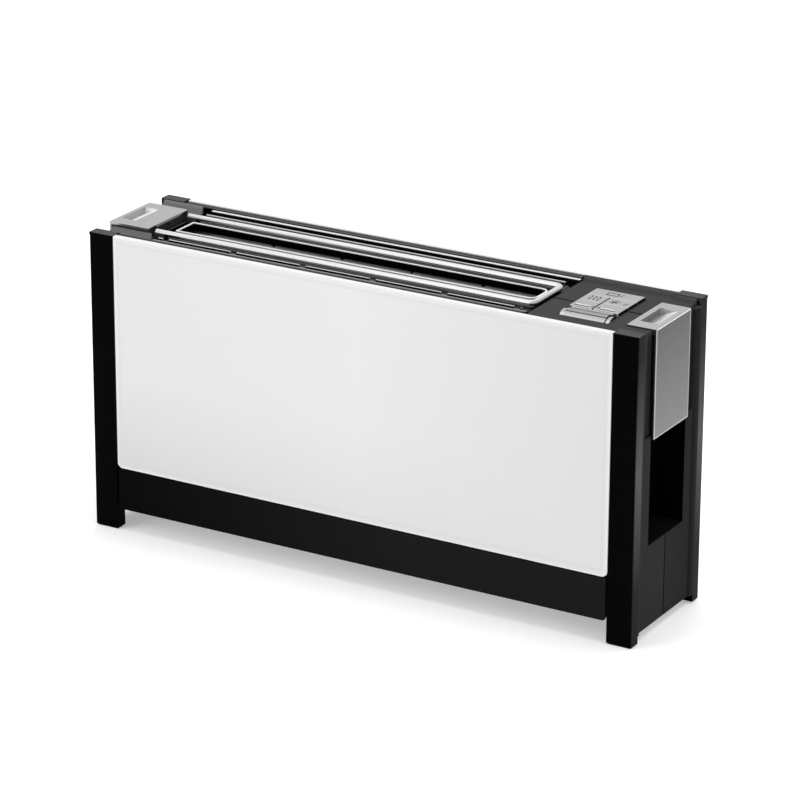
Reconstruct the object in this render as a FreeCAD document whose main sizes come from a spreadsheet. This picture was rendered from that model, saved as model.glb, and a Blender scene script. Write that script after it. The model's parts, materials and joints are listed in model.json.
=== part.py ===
import FreeCAD, Part
import math
import os
import Sketcher

# A long slot toaster. X runs along the slot, Y to the rear, Z up, and the
# origin lies on the floor below the middle. Lengths are in millimetres.

# Sizes that drive the model
sizes = {
    # the outside of the case
    "body_length": 420.0,
    "body_depth": 98.0,
    "body_height": 215.0,
    "shell_wall": 2.0,
    "seam_gap": 0.3,
    "seam_groove": 0.4,
    "fit_gap": 0.3,
    "slide_gap": 0.4,
    "sheet_steel": 1.2,
    # the posts, the feet and the end faces
    "post_width": 18.5,
    "post_depth": 9.0,
    "foot_depth": 8.0,
    "foot_pad": 1.0,
    "end_bottom": 6.0,
    "end_inset": 1.9,
    "pocket_inset": 3.2,
    "end_inner": 4.4,
    "pocket_bottom": 141.0,
    "sweep_lower": 14.0,
    "sweep_upper": 16.0,
    # the channels that the two levers run in
    "channel_half": 25.0,
    "window_bottom": 64.0,
    "right_channel": 22.0,
    "left_channel": 33.0,
    "stem_slot": 8.0,
    # the control panel, the top rails and the black pedestals
    "panel_drop": 3.0,
    "panel_edge": 87.5,
    "panel_skirt": 10.0,
    "curb_land": 0.8,
    "rail_drop": 0.7,
    "rail_width": 5.0,
    "rail_groove": 1.0,
    "rail_height": 14.0,
    "vent_rail_inset": 10.2,
    "vent_rail_width": 2.5,
    "vent_rail_drop": 1.5,
    "pedestal_drop": 6.0,
    "pedestal_dish": 3.2,
    # the base band and the glass
    "band_bottom": 16.0,
    "band_top": 46.0,
    "band_gap": 1.3,
    "band_corner": 2.0,
    "band_flange": 8.0,
    "glass_thickness": 4.0,
    "glass_corner": 4.5,
    "glass_seat": 0.5,
    # the pressed deck around the slot
    "deck_left": 44.0,
    "deck_half": 30.8,
    "deck_floor_drop": 4.8,
    "deck_lip_drop": 2.2,
    "deck_corner": 5.0,
    "deck_sheet": 1.0,
    "slot_left": 46.6,
    "slot_right": 97.0,
    "slot_half": 10.0,
    "slot_corner": 5.0,
    "lip_skirt": 9.0,
    "notch_width": 5.0,
    "lip_fold": 1.5,
    "deck_end_gap": 2.2,
    "tongue_inner": 13.0,
    "tongue_outer": 22.0,
    "notch_count": 6.0,
    "notch_inset": 50.0,
    "notch_margin": 8.0,
    # the toasting chamber
    "chamber_floor": 34.0,
    "reflector_inset": 10.2,
    "reflector_drop": 8.0,
    "mica_inset": 20.0,
    "mica_sheet": 1.2,
    "mica_bottom": 45.0,
    "mica_drop": 20.0,
    "ribbon_width": 2.5,
    "ribbon_sheet": 0.5,
    "ribbon_margin": 7.5,
    "ribbon_turns": 10.0,
    "guard_inset": 33.0,
    "guard_wire": 0.9,
    "guard_margin": 4.0,
    "guard_count": 11.0,
    "support_half": 8.0,
    "support_height": 118.0,
    "support_sheet": 3.0,
    "support_gap": 2.0,
    "window_count": 10.0,
    "window_half": 4.8,
    # the toast lift in the right end
    "lift_travel": 70.0,
    "lift_rod_inset": 80.0,
    "lift_rod_half": 14.0,
    "lift_rod_radius": 2.0,
    "bush_wall": 1.5,
    "carriage_gap": 1.2,
    "rod_fit": 0.06,
    "carriage_bottom": 115.0,
    "carriage_height": 40.0,
    "bracket_drop": 23.0,
    "stem_height": 141.0,
    "stem_depth": 12.0,
    "lever_bottom": 140.0,
    "lever_sheet": 1.65,
    "plate_bottom": 138.0,
    "cap_sheet": 2.0,
    "toast_cap_drop": 1.8,
    "rack_cap_rise": 0.9,
    "recess_depth": 5.0,
    "recess_half": 14.5,
    "toast_recess_length": 13.6,
    "rack_recess_length": 11.5,
    "recess_margin": 3.5,
    "spring_radius": 4.0,
    "spring_wall": 1.2,
    "armature_sheet": 3.0,
    "armature_half": 9.0,
    "core_leg": 5.0,
    # the bun rack and its lift in the left end
    "wire_radius": 2.2,
    "wire_drop": 2.2,
    "rack_half": 20.0,
    "rack_right": 92.0,
    "rack_left": 36.0,
    "rack_corner": 4.5,
    "gear_module": 1.5,
    "lever_teeth": 22.0,
    "rack_teeth": 11.0,
    "spare_teeth": 4.0,
    "pressure_angle": 25.0,
    "flank_points": 3.0,
    "gear_addendum": 1.3,
    "gear_clearance": 0.3,
    "gear_backlash": 0.3,
    "pinion_drop": 91.0,
    "pinion_axle": 2.0,
    "tooth_layer": 3.2,
    "bar_back": 5.0,
    "beam_rise": 26.0,
    "beam_depth": 8.0,
    "leg_width": 6.0,
    "rack_rod_half": 33.0,
    "rack_rod_radius": 1.5,
    # the keys, the browning roller and the electronics
    "keypad_right": 34.0,
    "keypad_left": 70.0,
    "keypad_half": 27.0,
    "keypad_slit": 0.4,
    "key_rise": 1.9,
    "key_sheet": 2.5,
    "key_travel": 1.0,
    "key_stem": 6.0,
    "key_column": 53.2,
    "key_row": 2.35,
    "key_strip": 14.35,
    "key_front": -11.6,
    "frame_sheet": 2.0,
    "frame_lap": 1.5,
    "roller_radius": 8.5,
    "roller_drop": 6.0,
    "roller_place": 19.5,
    "roller_flutes": 24.0,
    "flute_land": 0.8,
    "flute_depth": 0.7,
    "cheek": 3.0,
    "cheek_step": 0.9,
    "roller_axle": 1.5,
    "board_drop": 16.0,
    "board_sheet": 1.6,
    "board_margin": 5.0,
    "switch_body": 3.4,
    # the tray, the gland and the small hardware
    "base_sheet": 1.2,
    "tray_inset": 95.0,
    "tray_wall": 1.0,
    "tray_height": 8.0,
    "tray_front": 8.0,
    "tray_lip": 12.0,
    "gland_inset": 32.0,
    "gland_height": 31.0,
    "gland_radius": 6.5,
    "gland_bore": 3.5,
    "gland_length": 8.0,
    "screw_inset": 60.0,
    "screw_radius": 1.5,
    "screw_head": 3.0,
}

doc = FreeCAD.newDocument("long_slot_toaster")
sheet = doc.addObject("Spreadsheet::Sheet", "Sizes")


class Length:
    # A length with its formula on the sheet and its present number
    def __init__(self, formula, number):
        self.formula = formula
        self.number = number

    def __add__(self, other):
        other = as_length(other)
        return Length("(%s + %s)" % (self.formula, other.formula), self.number + other.number)

    def __sub__(self, other):
        other = as_length(other)
        return Length("(%s - %s)" % (self.formula, other.formula), self.number - other.number)

    def __mul__(self, other):
        other = as_length(other)
        return Length("(%s * %s)" % (self.formula, other.formula), self.number * other.number)

    def __truediv__(self, other):
        other = as_length(other)
        return Length("(%s / %s)" % (self.formula, other.formula), self.number / other.number)

    def __radd__(self, other):
        return as_length(other) + self

    def __rsub__(self, other):
        return as_length(other) - self

    def __rmul__(self, other):
        return as_length(other) * self

    def __neg__(self):
        return -1.0 * self


def as_length(value):
    if isinstance(value, Length):
        return value
    return Length("(%r)" % float(value), float(value))


class Dimensions:
    # The sheet's cells, read by their names
    def __init__(self):
        for row, (name, value) in enumerate(sizes.items(), start=1):
            cell = "B%d" % row
            sheet.set("A%d" % row, name)
            sheet.set(cell, str(value))
            sheet.setAlias(cell, name)
            setattr(self, name, Length("Sizes." + name, value))


d = Dimensions()
doc.recompute()
parts = {}
cuts = []

half_length = d.body_length / 2
half_depth = d.body_depth / 2
mid_seam = half_depth - d.seam_gap / 2
right = 1
left = -1
front = -1
rear = 1

# Heights under the top of the case, and places from its ends
d.panel_top = d.body_height - d.panel_drop
d.rail_top = d.body_height - d.rail_drop
d.vent_rail_top = d.body_height - d.vent_rail_drop
d.pedestal_bottom = d.body_height - d.pedestal_drop
d.deck_floor = d.body_height - d.deck_floor_drop
d.deck_lip = d.body_height - d.deck_lip_drop
d.reflector_top = d.body_height - d.reflector_drop
d.mica_top = d.body_height - d.mica_drop
d.bracket_height = d.body_height - d.bracket_drop
d.toast_cap_top = d.body_height - d.toast_cap_drop
d.rack_cap_top = d.body_height + d.rack_cap_rise
d.wire_height = d.body_height - d.wire_drop
d.pinion_height = d.body_height - d.pinion_drop
d.beam_bottom = d.pinion_height + d.beam_rise
d.key_top = d.panel_top + d.key_rise
d.roller_height = d.panel_top - d.roller_drop
d.board_height = d.panel_top - d.board_drop
d.gland_place = half_length - d.gland_inset
d.screw_place = half_length - d.screw_inset
d.tray_half = half_length - d.tray_inset


def from_end(side, inset):
    # X of a plane that lies inset from an end of the case
    return side * (half_length - inset)


def from_face(side, inset):
    # Y of a plane that lies inset from the front or the rear
    return side * (half_depth - inset)


def bind(thing, name, value):
    thing.setExpression(name, as_length(value).formula)


def keep(name, thing):
    thing.Label = name
    parts[name] = thing
    return thing


# Sketches and the features of a body
def new_body(name):
    return keep(name, doc.addObject("PartDesign::Body", name))


def origin_plane(body, role):
    for feature in body.Origin.OriginFeatures:
        if feature.Role == role:
            return feature


def arc_centre(start, end, radius):
    # Centre on the left of the way from start to end for a positive radius
    chord = end.sub(start)
    across = FreeCAD.Vector(-chord.y, chord.x, 0).normalize()
    reach = math.sqrt(max(radius * radius - chord.Length ** 2 / 4, 0))
    return (start + end) / 2 + across * math.copysign(reach, radius)


def outline(body, name, plane, offset, points):
    # A closed outline. A point may carry the signed radius of an arc to the next.
    sketch = body.newObject("Sketcher::SketchObject", name)
    sketch.AttachmentSupport = [(origin_plane(body, plane), "")]
    sketch.MapMode = "FlatFace"
    bind(sketch, "AttachmentOffset.Base.z", offset)
    corners = [FreeCAD.Vector(as_length(p[0]).number, as_length(p[1]).number, 0) for p in points]
    starts = []
    ends = []
    radii = []
    for index, point in enumerate(points):
        start = corners[index]
        end = corners[(index + 1) % len(points)]
        if len(point) == 2:
            sketch.addGeometry(Part.LineSegment(start, end), False)
            starts.append(1)
            ends.append(2)
            continue
        radius = as_length(point[2]).number
        centre = arc_centre(start, end, radius)
        first, last = (start, end) if radius > 0 else (end, start)
        begin = math.atan2(first.y - centre.y, first.x - centre.x)
        finish = math.atan2(last.y - centre.y, last.x - centre.x)
        if finish < begin:
            finish += 2 * math.pi
        circle = Part.Circle(centre, FreeCAD.Vector(0, 0, 1), abs(radius))
        sketch.addGeometry(Part.ArcOfCircle(circle, begin, finish), False)
        starts.append(1 if radius > 0 else 2)
        ends.append(2 if radius > 0 else 1)
        radii.append((index, point[2] if radius > 0 else -point[2]))
    bound = []
    constraints = []
    for index, point in enumerate(points):
        follower = (index + 1) % len(points)
        constraints.append(Sketcher.Constraint("Coincident", index, ends[index], follower, starts[follower]))
    for index, point in enumerate(points):
        for kind, value in (("DistanceX", point[0]), ("DistanceY", point[1])):
            bound.append((len(constraints), value))
            constraints.append(
                Sketcher.Constraint(kind, -1, 1, index, starts[index], as_length(value).number))
    for index, radius in radii:
        bound.append((len(constraints), radius))
        constraints.append(Sketcher.Constraint("Radius", index, as_length(radius).number))
    sketch.addConstraint(constraints)
    for place, value in bound:
        bind(sketch, "Constraints[%d]" % place, value)
    return sketch


def circle(body, name, plane, offset, centre, radius):
    # A round outline about a point
    sketch = body.newObject("Sketcher::SketchObject", name)
    sketch.AttachmentSupport = [(origin_plane(body, plane), "")]
    sketch.MapMode = "FlatFace"
    bind(sketch, "AttachmentOffset.Base.z", offset)
    middle = [as_length(value) for value in centre]
    reach = as_length(radius)
    point = FreeCAD.Vector(middle[0].number, middle[1].number, 0)
    sketch.addGeometry(Part.Circle(point, FreeCAD.Vector(0, 0, 1), reach.number), False)
    sketch.addConstraint([
        Sketcher.Constraint("DistanceX", -1, 1, 0, 3, middle[0].number),
        Sketcher.Constraint("DistanceY", -1, 1, 0, 3, middle[1].number),
        Sketcher.Constraint("Radius", 0, reach.number),
    ])
    for place, value in enumerate(middle + [reach]):
        bind(sketch, "Constraints[%d]" % place, value)
    return sketch


def plane_offset(plane, low, high):
    # The XZ plane looks along -Y, so its prisms start at their high side
    return -as_length(high) if plane == "XZ_Plane" else as_length(low)


def prism(body, name, plane, low, high, points):
    # A straight prism between two planes, added to the body
    pad = body.newObject("PartDesign::Pad", name)
    pad.Profile = outline(body, name + "_outline", plane, plane_offset(plane, low, high), points)
    bind(pad, "Length", as_length(high) - low)
    body.Tip = pad
    return pad


def recess(body, name, plane, low, high, points):
    # A straight prism between two planes, cut out of the body
    base = body.Tip
    pocket = body.newObject("PartDesign::Pocket", name)
    pocket.Profile = outline(body, name + "_outline", plane, plane_offset(plane, low, high), points)
    pocket.Reversed = True
    bind(pocket, "Length", as_length(high) - low)
    body.Tip = pocket
    cuts.append((pocket, base))
    return pocket


def bore(body, name, plane, low, high, centre, radius):
    # A round hole between two planes, cut out of the body
    base = body.Tip
    pocket = body.newObject("PartDesign::Pocket", name)
    pocket.Profile = circle(body, name + "_outline", plane, plane_offset(plane, low, high), centre, radius)
    pocket.Reversed = True
    bind(pocket, "Length", as_length(high) - low)
    body.Tip = pocket
    cuts.append((pocket, base))
    return pocket


def rectangle(low_x, high_x, low_y, high_y):
    return [(low_x, low_y), (high_x, low_y), (high_x, high_y), (low_x, high_y)]


def rounded(body, name, radius, chosen):
    # Rounds the edges of the body's last feature that the test chooses
    doc.recompute()
    base = body.Tip
    edges = ["Edge%d" % (place + 1) for place, edge in enumerate(base.Shape.Edges) if chosen(edge)]
    fillet = body.newObject("PartDesign::Fillet", name)
    fillet.Base = (base, edges)
    bind(fillet, "Radius", radius)
    body.Tip = fillet
    return fillet


def along(edge, axis):
    # True for a straight edge that runs along the axis
    run = edge.Vertexes[-1].Point.sub(edge.Vertexes[0].Point)
    return abs(abs(run.dot(axis)) - run.Length) < 1e-6 and run.Length > 1e-6


axis_x = FreeCAD.Vector(1, 0, 0)
axis_y = FreeCAD.Vector(0, 1, 0)
axis_z = FreeCAD.Vector(0, 0, 1)


# Plain solids and the ways to join them
def block(name, x, y, z):
    # A box between pairs of planes
    piece = doc.addObject("Part::Box", name)
    for side, pair, base in (("Length", x, "x"), ("Width", y, "y"), ("Height", z, "z")):
        bind(piece, side, as_length(pair[1]) - pair[0])
        bind(piece, "Placement.Base." + base, pair[0])
    return piece


turns = {
    "x": FreeCAD.Rotation(axis_y, 90),
    "y": FreeCAD.Rotation(axis_x, -90),
    "z": FreeCAD.Rotation(),
}


def rod(name, axis, centre, radius, low, high):
    # A cylinder along an axis, from low to high on that axis
    piece = doc.addObject("Part::Cylinder", name)
    piece.Placement = FreeCAD.Placement(FreeCAD.Vector(), turns[axis])
    places = dict(zip([letter for letter in "xyz" if letter != axis], centre))
    places[axis] = low
    bind(piece, "Radius", radius)
    bind(piece, "Height", as_length(high) - low)
    for letter, value in places.items():
        bind(piece, "Placement.Base." + letter, value)
    return piece


def six_sided(name, axis, centre, radius, low, high):
    # A bar of six sides along an axis
    piece = doc.addObject("Part::Prism", name)
    piece.Polygon = 6
    piece.Placement = FreeCAD.Placement(FreeCAD.Vector(), turns[axis])
    places = dict(zip([letter for letter in "xyz" if letter != axis], centre))
    places[axis] = low
    bind(piece, "Circumradius", radius)
    bind(piece, "Height", as_length(high) - low)
    for letter, value in places.items():
        bind(piece, "Placement.Base." + letter, value)
    return piece


def fuse(name, pieces):
    joined = doc.addObject("Part::MultiFuse", name)
    joined.Shapes = pieces
    return joined


def cut(name, base, tools):
    # The base without the tools
    result = doc.addObject("Part::Cut", name)
    result.Base = base
    result.Tool = tools[0] if len(tools) == 1 else fuse(name + "_tools", tools)
    return result


def group(name, pieces):
    # Separate solids under one name
    joined = doc.addObject("Part::Compound", name)
    joined.Links = pieces
    return joined


# End shells: each end of the case is two half shells that meet at mid-depth
def end_shell(name, end, face, channel, wall_top, slot_edge):
    body = new_body(name)

    def at(points):
        placed = []
        for point in points:
            x = from_end(end, point[0])
            y = from_face(face, point[1])
            placed.append((x, y, end * face * point[2]) if len(point) == 3 else (x, y))
        return placed

    wall = d.shell_wall
    channel_edge = half_depth - d.channel_half
    post = [
        (d.post_width, 0), (0, 0), (0, d.post_depth), (wall, d.post_depth), (wall, wall),
        (d.post_width - wall, wall), (d.post_width - wall, d.post_depth), (d.post_width, d.post_depth),
    ]
    prism(body, "post", "XY_Plane", d.foot_pad, d.body_height - wall, at(post))
    foot = at([(0, 0), (d.post_width, 0), (d.post_width, d.foot_depth), (0, d.foot_depth)])
    prism(body, "foot", "XY_Plane", d.foot_pad, d.end_bottom, foot)
    rounded(body, "foot_edge", wall / 2, lambda edge: is_outer_post_edge(edge, end, face))
    top = at([(0, 0), (d.post_width, 0), (d.post_width, d.post_depth), (0, d.post_depth)])
    prism(body, "post_top", "XY_Plane", d.body_height - wall, d.body_height, top)

    def swept(inset, sweep):
        return [(0, d.post_depth, -sweep_arc(inset, sweep)), (inset, sweep)]

    inner = [(d.end_inner, d.post_depth + wall), (wall, d.post_depth)]
    seam = [
        (d.end_inset, mid_seam - d.seam_groove), (d.end_inset + d.seam_groove, mid_seam),
        (d.end_inner, mid_seam),
    ]
    lower = swept(d.end_inset, d.sweep_lower) + seam + inner
    prism(body, "end_wall", "XY_Plane", d.end_bottom, d.window_bottom, at(lower))
    ledge = rectangle(d.end_inset, channel + wall, channel_edge - wall, mid_seam)
    prism(body, "channel_floor", "XY_Plane", d.window_bottom - wall, d.window_bottom, at(ledge))
    channel_wall = [
        (channel, channel_edge), (channel, slot_edge), (channel + wall, slot_edge),
        (channel + wall, channel_edge - wall), (d.end_inner, channel_edge - wall),
    ]
    middle = swept(d.end_inset, d.sweep_lower) + [(d.end_inset, channel_edge)] + channel_wall + inner
    prism(body, "channel_lower", "XY_Plane", d.window_bottom, d.pocket_bottom, at(middle))
    upper = swept(d.pocket_inset, d.sweep_upper) + [(d.pocket_inset, channel_edge)] + channel_wall + inner
    prism(body, "channel_upper", "XY_Plane", d.pocket_bottom, wall_top, at(upper))
    return body, at


def is_outer_post_edge(edge, end, face):
    # The upright edge at the outer corner of a post
    if not along(edge, axis_z):
        return False
    point = edge.Vertexes[0].Point
    corner = FreeCAD.Vector(from_end(end, 0).number, from_face(face, 0).number, point.z)
    return point.distanceToPoint(corner) < 1e-6


def sweep_arc(inset, sweep):
    # Radius of the arc that leaves the end face straight and reaches the post
    reach = sweep - d.post_depth
    return (reach * reach + inset * inset) / (2 * inset)


panel_bottom = d.panel_top - d.shell_wall
rail_inner = d.glass_thickness + d.fit_gap + d.rail_width
stem_edge = half_depth - d.stem_slot / 2
keypad_hole = half_depth - d.keypad_half - d.fit_gap
board_bosses = [d.keypad_right - d.board_margin, d.keypad_left + d.board_margin]


def right_shell(name, face):
    # The right half shells carry the control panel
    body, at = end_shell(name, right, face, d.right_channel, panel_bottom, stem_edge)
    wall = d.shell_wall
    channel_edge = half_depth - d.channel_half
    near = d.glass_thickness + d.fit_gap
    foot = rail_inner + d.fit_gap
    panel = [
        (d.pocket_inset, d.post_depth), (d.post_width, d.post_depth), (d.post_width, near),
        (d.panel_edge, near), (d.panel_edge, mid_seam), (d.right_channel, mid_seam),
        (d.right_channel, channel_edge), (d.pocket_inset, channel_edge),
    ]
    prism(body, "panel", "XY_Plane", panel_bottom, d.panel_top, at(panel))
    high = d.body_height - d.fit_gap
    curb = [
        (from_face(face, foot), d.panel_top), (from_face(face, near + d.curb_land), high),
        (from_face(face, near), high), (from_face(face, near), d.panel_top),
    ]
    prism(body, "curb", "YZ_Plane", from_end(right, d.panel_edge), from_end(right, d.post_width), curb)
    skirt = rectangle(d.panel_edge - wall, d.panel_edge, near, mid_seam)
    prism(body, "skirt", "XY_Plane", d.panel_top - d.panel_skirt, panel_bottom, at(skirt))
    for number, inset in enumerate(board_bosses):
        middle = half_depth - d.board_margin if face == front else half_depth - d.keypad_half + wall
        boss = rectangle(inset - wall, inset + wall, middle - wall, middle + wall)
        prism(body, "boss_%d" % number, "XY_Plane", d.board_height + d.board_sheet, panel_bottom, at(boss))
    hole = rectangle(d.keypad_right - d.fit_gap, d.keypad_left + d.fit_gap, keypad_hole, half_depth)
    recess(body, "keypad_hole", "XY_Plane", panel_bottom, d.panel_top, at(hole))
    seam_y = from_face(face, mid_seam).number
    rounded(body, "seam_edges", d.seam_groove, lambda edge: along(edge, axis_x)
            and abs(edge.Vertexes[0].Point.z - d.panel_top.number) < 1e-6
            and abs(edge.Vertexes[0].Point.y - seam_y) < 1e-6)


def left_shell(name, face):
    # The left half shells hold the axle of the lift pinion
    body, at = end_shell(name, left, face, d.left_channel, d.pedestal_bottom, mid_seam)
    wall = d.shell_wall
    low = from_end(left, d.left_channel)
    high = from_end(left, d.left_channel + wall)
    reach = d.pinion_axle + d.rod_fit
    bore(body, "axle_bearing", "YZ_Plane", low, high, (0, d.pinion_height), reach)
    if face == front:
        slot = rectangle(bar_back_y - d.slide_gap, bar_root_y + d.slide_gap, web_bottom - d.lift_travel
                         - d.slide_gap, web_top + d.slide_gap)
        recess(body, "web_slot", "YZ_Plane", low, high, slot)


def pedestal(name, face):
    # Black cover beside the left lever's cap, dished between post and cap
    body = new_body(name)
    channel_edge = half_depth - d.channel_half
    inner = rail_inner + d.fit_gap
    high = d.body_height - d.fit_gap
    low = d.panel_top + d.shell_wall / 2
    across = channel_edge - inner
    fall = high - low
    dish = d.pedestal_dish
    bow = ((across * across + fall * fall) / 4 + dish * dish) / (dish * 2)
    profile = [
        (from_face(face, inner), d.pedestal_bottom),
        (from_face(face, inner), high, -face * bow),
        (from_face(face, channel_edge), low),
        (from_face(face, channel_edge), d.pedestal_bottom),
    ]
    near = from_end(left, d.pocket_inset)
    prism(body, "cover", "YZ_Plane", near, from_end(left, d.left_channel + d.shell_wall), profile)


# The base band and its hidden twin at the rear
def base_rail(name, face):
    body = new_body(name)
    reach = half_length - d.post_width - d.band_gap
    wall = d.shell_wall
    inner, outer = sorted((from_face(face, wall), from_face(face, 0)), key=lambda y: y.number)
    prism(body, "band", "XZ_Plane", inner, outer, rectangle(-reach, reach, d.band_bottom, d.band_top))
    corner = FreeCAD.Vector(reach.number, 0, d.band_bottom.number)
    rounded(body, "corners", d.band_corner, lambda edge: along(edge, axis_y)
            and abs(edge.Vertexes[0].Point.z - corner.z) < 1e-6)
    flange = rectangle(-reach + d.band_corner, reach - d.band_corner, from_face(face, wall),
                       from_face(face, d.band_flange))
    prism(body, "lower_flange", "XY_Plane", d.band_bottom, d.band_bottom + wall, flange)
    prism(body, "upper_flange", "XY_Plane", d.band_top - wall, d.band_top, flange)
    low, high = sorted((from_face(face, 0), from_face(face, d.band_flange)), key=lambda y: y.number)
    for side, label in ((left, "left"), (right, "right")):
        x = side * d.screw_place
        hole = d.screw_radius + d.rod_fit
        y = from_face(face, d.band_flange - d.screw_head)
        bore(body, label + "_screw_hole", "XY_Plane", d.band_bottom, d.band_bottom + wall, (x, y), hole)
    if face == rear:
        gap = d.slide_gap
        tray = rectangle(-d.tray_half - gap, d.tray_half + gap, tray_bottom - gap,
                         tray_bottom + d.tray_lip + gap)
        recess(body, "tray_hole", "XZ_Plane", low, high, tray)
        hole = d.gland_radius + d.rod_fit
        x = -d.gland_place
        bore(body, "gland_hole", "XZ_Plane", low, high, (x, d.gland_height), hole)
    return body


def glass_panel(name, face):
    body = new_body(name)
    reach = half_length - d.post_width - d.fit_gap
    bottom = d.band_top + d.glass_seat
    low, high = sorted((from_face(face, 0), from_face(face, d.glass_thickness)), key=lambda y: y.number)
    prism(body, "pane", "XZ_Plane", low, high, rectangle(-reach, reach, bottom, d.body_height))
    rounded(body, "corners", d.glass_corner, lambda edge: along(edge, axis_y)
            and abs(edge.Vertexes[0].Point.z - bottom.number) < 1e-6)


def top_rail(name, face):
    # Extruded rail with a dark groove along the top
    body = new_body(name)
    low = from_end(left, d.post_width + d.fit_gap)
    high = from_end(right, d.panel_edge + d.fit_gap)
    near = d.glass_thickness + d.fit_gap
    wall = d.sheet_steel
    bottom = d.rail_top - d.rail_height
    groove = near + d.rail_width / 2 - d.rail_groove / 2
    depth = d.rail_top - d.rail_groove
    section = [
        (near, bottom), (near, d.rail_top), (groove, d.rail_top), (groove, depth),
        (groove + d.rail_groove, depth), (groove + d.rail_groove, d.rail_top),
        (near + d.rail_width, d.rail_top), (near + d.rail_width, bottom),
        (near + d.rail_width - wall, bottom), (near + d.rail_width - wall, depth - wall),
        (near + wall, depth - wall), (near + wall, bottom),
    ]
    prism(body, "rail", "YZ_Plane", low, high, [(from_face(face, v), z) for v, z in section])


chamber_left = from_end(left, d.deck_left)
chamber_right = from_end(right, d.panel_edge + d.fit_gap)
deck_bottom = d.deck_floor - d.deck_sheet


def vent_rail(name, face):
    # Thin strip between the top rail and the vent gap, standing on the reflector
    body = new_body(name)
    near = d.vent_rail_inset
    far = d.vent_rail_inset + d.vent_rail_width
    wall = d.deck_sheet
    foot = d.reflector_top
    section = [
        (near, foot), (near, d.vent_rail_top), (far, d.vent_rail_top), (far, d.vent_rail_top - wall),
        (near + wall, d.vent_rail_top - wall), (near + wall, foot),
    ]
    points = [(from_face(face, v), z) for v, z in section]
    prism(body, "strip", "YZ_Plane", chamber_left, chamber_right, points)


right_shell("right_front_shell", front)
right_shell("right_rear_shell", rear)
bar_pitch_y = -d.gear_module * d.lever_teeth / 2
bar_root_y = bar_pitch_y - d.gear_addendum - d.gear_clearance
bar_back_y = bar_root_y - d.bar_back
web_bottom = d.pinion_height + d.lift_travel / 2
web_top = d.pinion_height + d.lift_travel
tray_bottom = d.band_bottom + d.shell_wall + d.base_sheet + d.slide_gap
left_shell("left_front_shell", front)
left_shell("left_rear_shell", rear)
pedestal("left_front_pedestal", front)
pedestal("left_rear_pedestal", rear)
base_rail("front_base_rail", front)
base_rail("rear_base_rail", rear)
glass_panel("front_glass_panel", front)
glass_panel("rear_glass_panel", rear)
top_rail("front_top_rail", front)
top_rail("rear_top_rail", rear)
vent_rail("front_vent_rail", front)
vent_rail("rear_vent_rail", rear)


# The pressed deck: a trough between two lips, with a third lip around the slot
def slot_outline(margin):
    low = from_end(left, d.slot_left) - margin
    high = from_end(right, d.slot_right) + margin
    side = d.slot_half + margin
    radius = d.slot_corner + margin
    return [
        (low, -side), (high - radius, -side, radius), (high, radius - side),
        (high, side - radius, radius), (high - radius, side), (low, side),
    ]


def row_pattern(body, name, feature, span, count):
    # Repeats a feature along X
    pattern = body.newObject("PartDesign::LinearPattern", name)
    pattern.Originals = [feature]
    axis = [thing for thing in body.Origin.OriginFeatures if thing.Role == "X_Axis"][0]
    pattern.Direction = (axis, [""])
    bind(pattern, "Length", span)
    bind(pattern, "Occurrences", count)
    body.Tip = pattern
    return pattern


deck_right = chamber_right - d.deck_end_gap
corner_y = d.deck_half - d.deck_corner
corner_x = deck_right - d.deck_corner
trough = [
    (chamber_left, -d.deck_half), (corner_x, -d.deck_half, d.deck_corner), (deck_right, -corner_y),
]
for side in (front, rear):
    low, high = sorted((side * d.tongue_outer, side * d.tongue_inner), key=lambda y: y.number)
    trough += [(deck_right, low), (chamber_right, low), (chamber_right, high), (deck_right, high)]
trough += [
    (deck_right, corner_y, d.deck_corner), (corner_x, d.deck_half), (chamber_left, d.deck_half),
]
deck = new_body("slot_deck")
prism(deck, "trough", "XY_Plane", deck_bottom, d.deck_floor, trough)
notch_first = from_end(left, d.notch_inset) - d.notch_width / 2
notch_span = deck_right - d.notch_margin - from_end(left, d.notch_inset)
for side, label, low, high in (
        (front, "front", d.deck_floor + d.lip_fold / 2, d.deck_lip),
        (rear, "rear", d.deck_floor, d.deck_lip - d.deck_sheet)):
    ys = sorted((side * d.deck_half, side * (d.deck_half - d.lip_fold)), key=lambda y: y.number)
    prism(deck, label + "_lip", "XY_Plane", d.deck_floor, d.deck_lip,
          rectangle(chamber_left, corner_x, ys[0], ys[1]))
    first = recess(deck, label + "_notch", "XZ_Plane", ys[0], ys[1],
                   rectangle(notch_first, notch_first + d.notch_width, low, high))
    row_pattern(deck, label + "_notches", first, notch_span, d.notch_count)
prism(deck, "slot_lip", "XY_Plane", d.deck_floor - d.lip_skirt, d.deck_lip, slot_outline(d.sheet_steel))
recess(deck, "slot", "XY_Plane", d.deck_floor - d.lip_skirt, d.deck_lip, slot_outline(0))


# The base and the toasting chamber
base_top = d.band_bottom + d.shell_wall + d.base_sheet
base = new_body("base_plate")
base_x = half_length - d.post_width - d.fit_gap
base_y = half_depth - d.shell_wall - d.fit_gap
end_x = half_length - d.end_inner - d.fit_gap
end_y = half_depth - d.post_depth - d.fit_gap - d.shell_wall
base_points = [
    (-end_x, -end_y), (-base_x, -end_y), (-base_x, -base_y),
    (base_x, -base_y), (base_x, -end_y), (end_x, -end_y),
    (end_x, end_y), (base_x, end_y), (base_x, base_y),
    (-base_x, base_y), (-base_x, end_y), (-end_x, end_y),
]
prism(base, "sheet", "XY_Plane", base_top - d.base_sheet, base_top, base_points)
screw_places = []
for side, face in ((left, front), (right, front), (left, rear), (right, rear)):
    spot = (side * d.screw_place, from_face(face, d.band_flange - d.screw_head))
    screw_places.append(spot)
    bore(base, "screw_hole_%d" % len(screw_places), "XY_Plane", base_top - d.base_sheet, base_top, spot,
         d.screw_radius + d.rod_fit)

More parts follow.
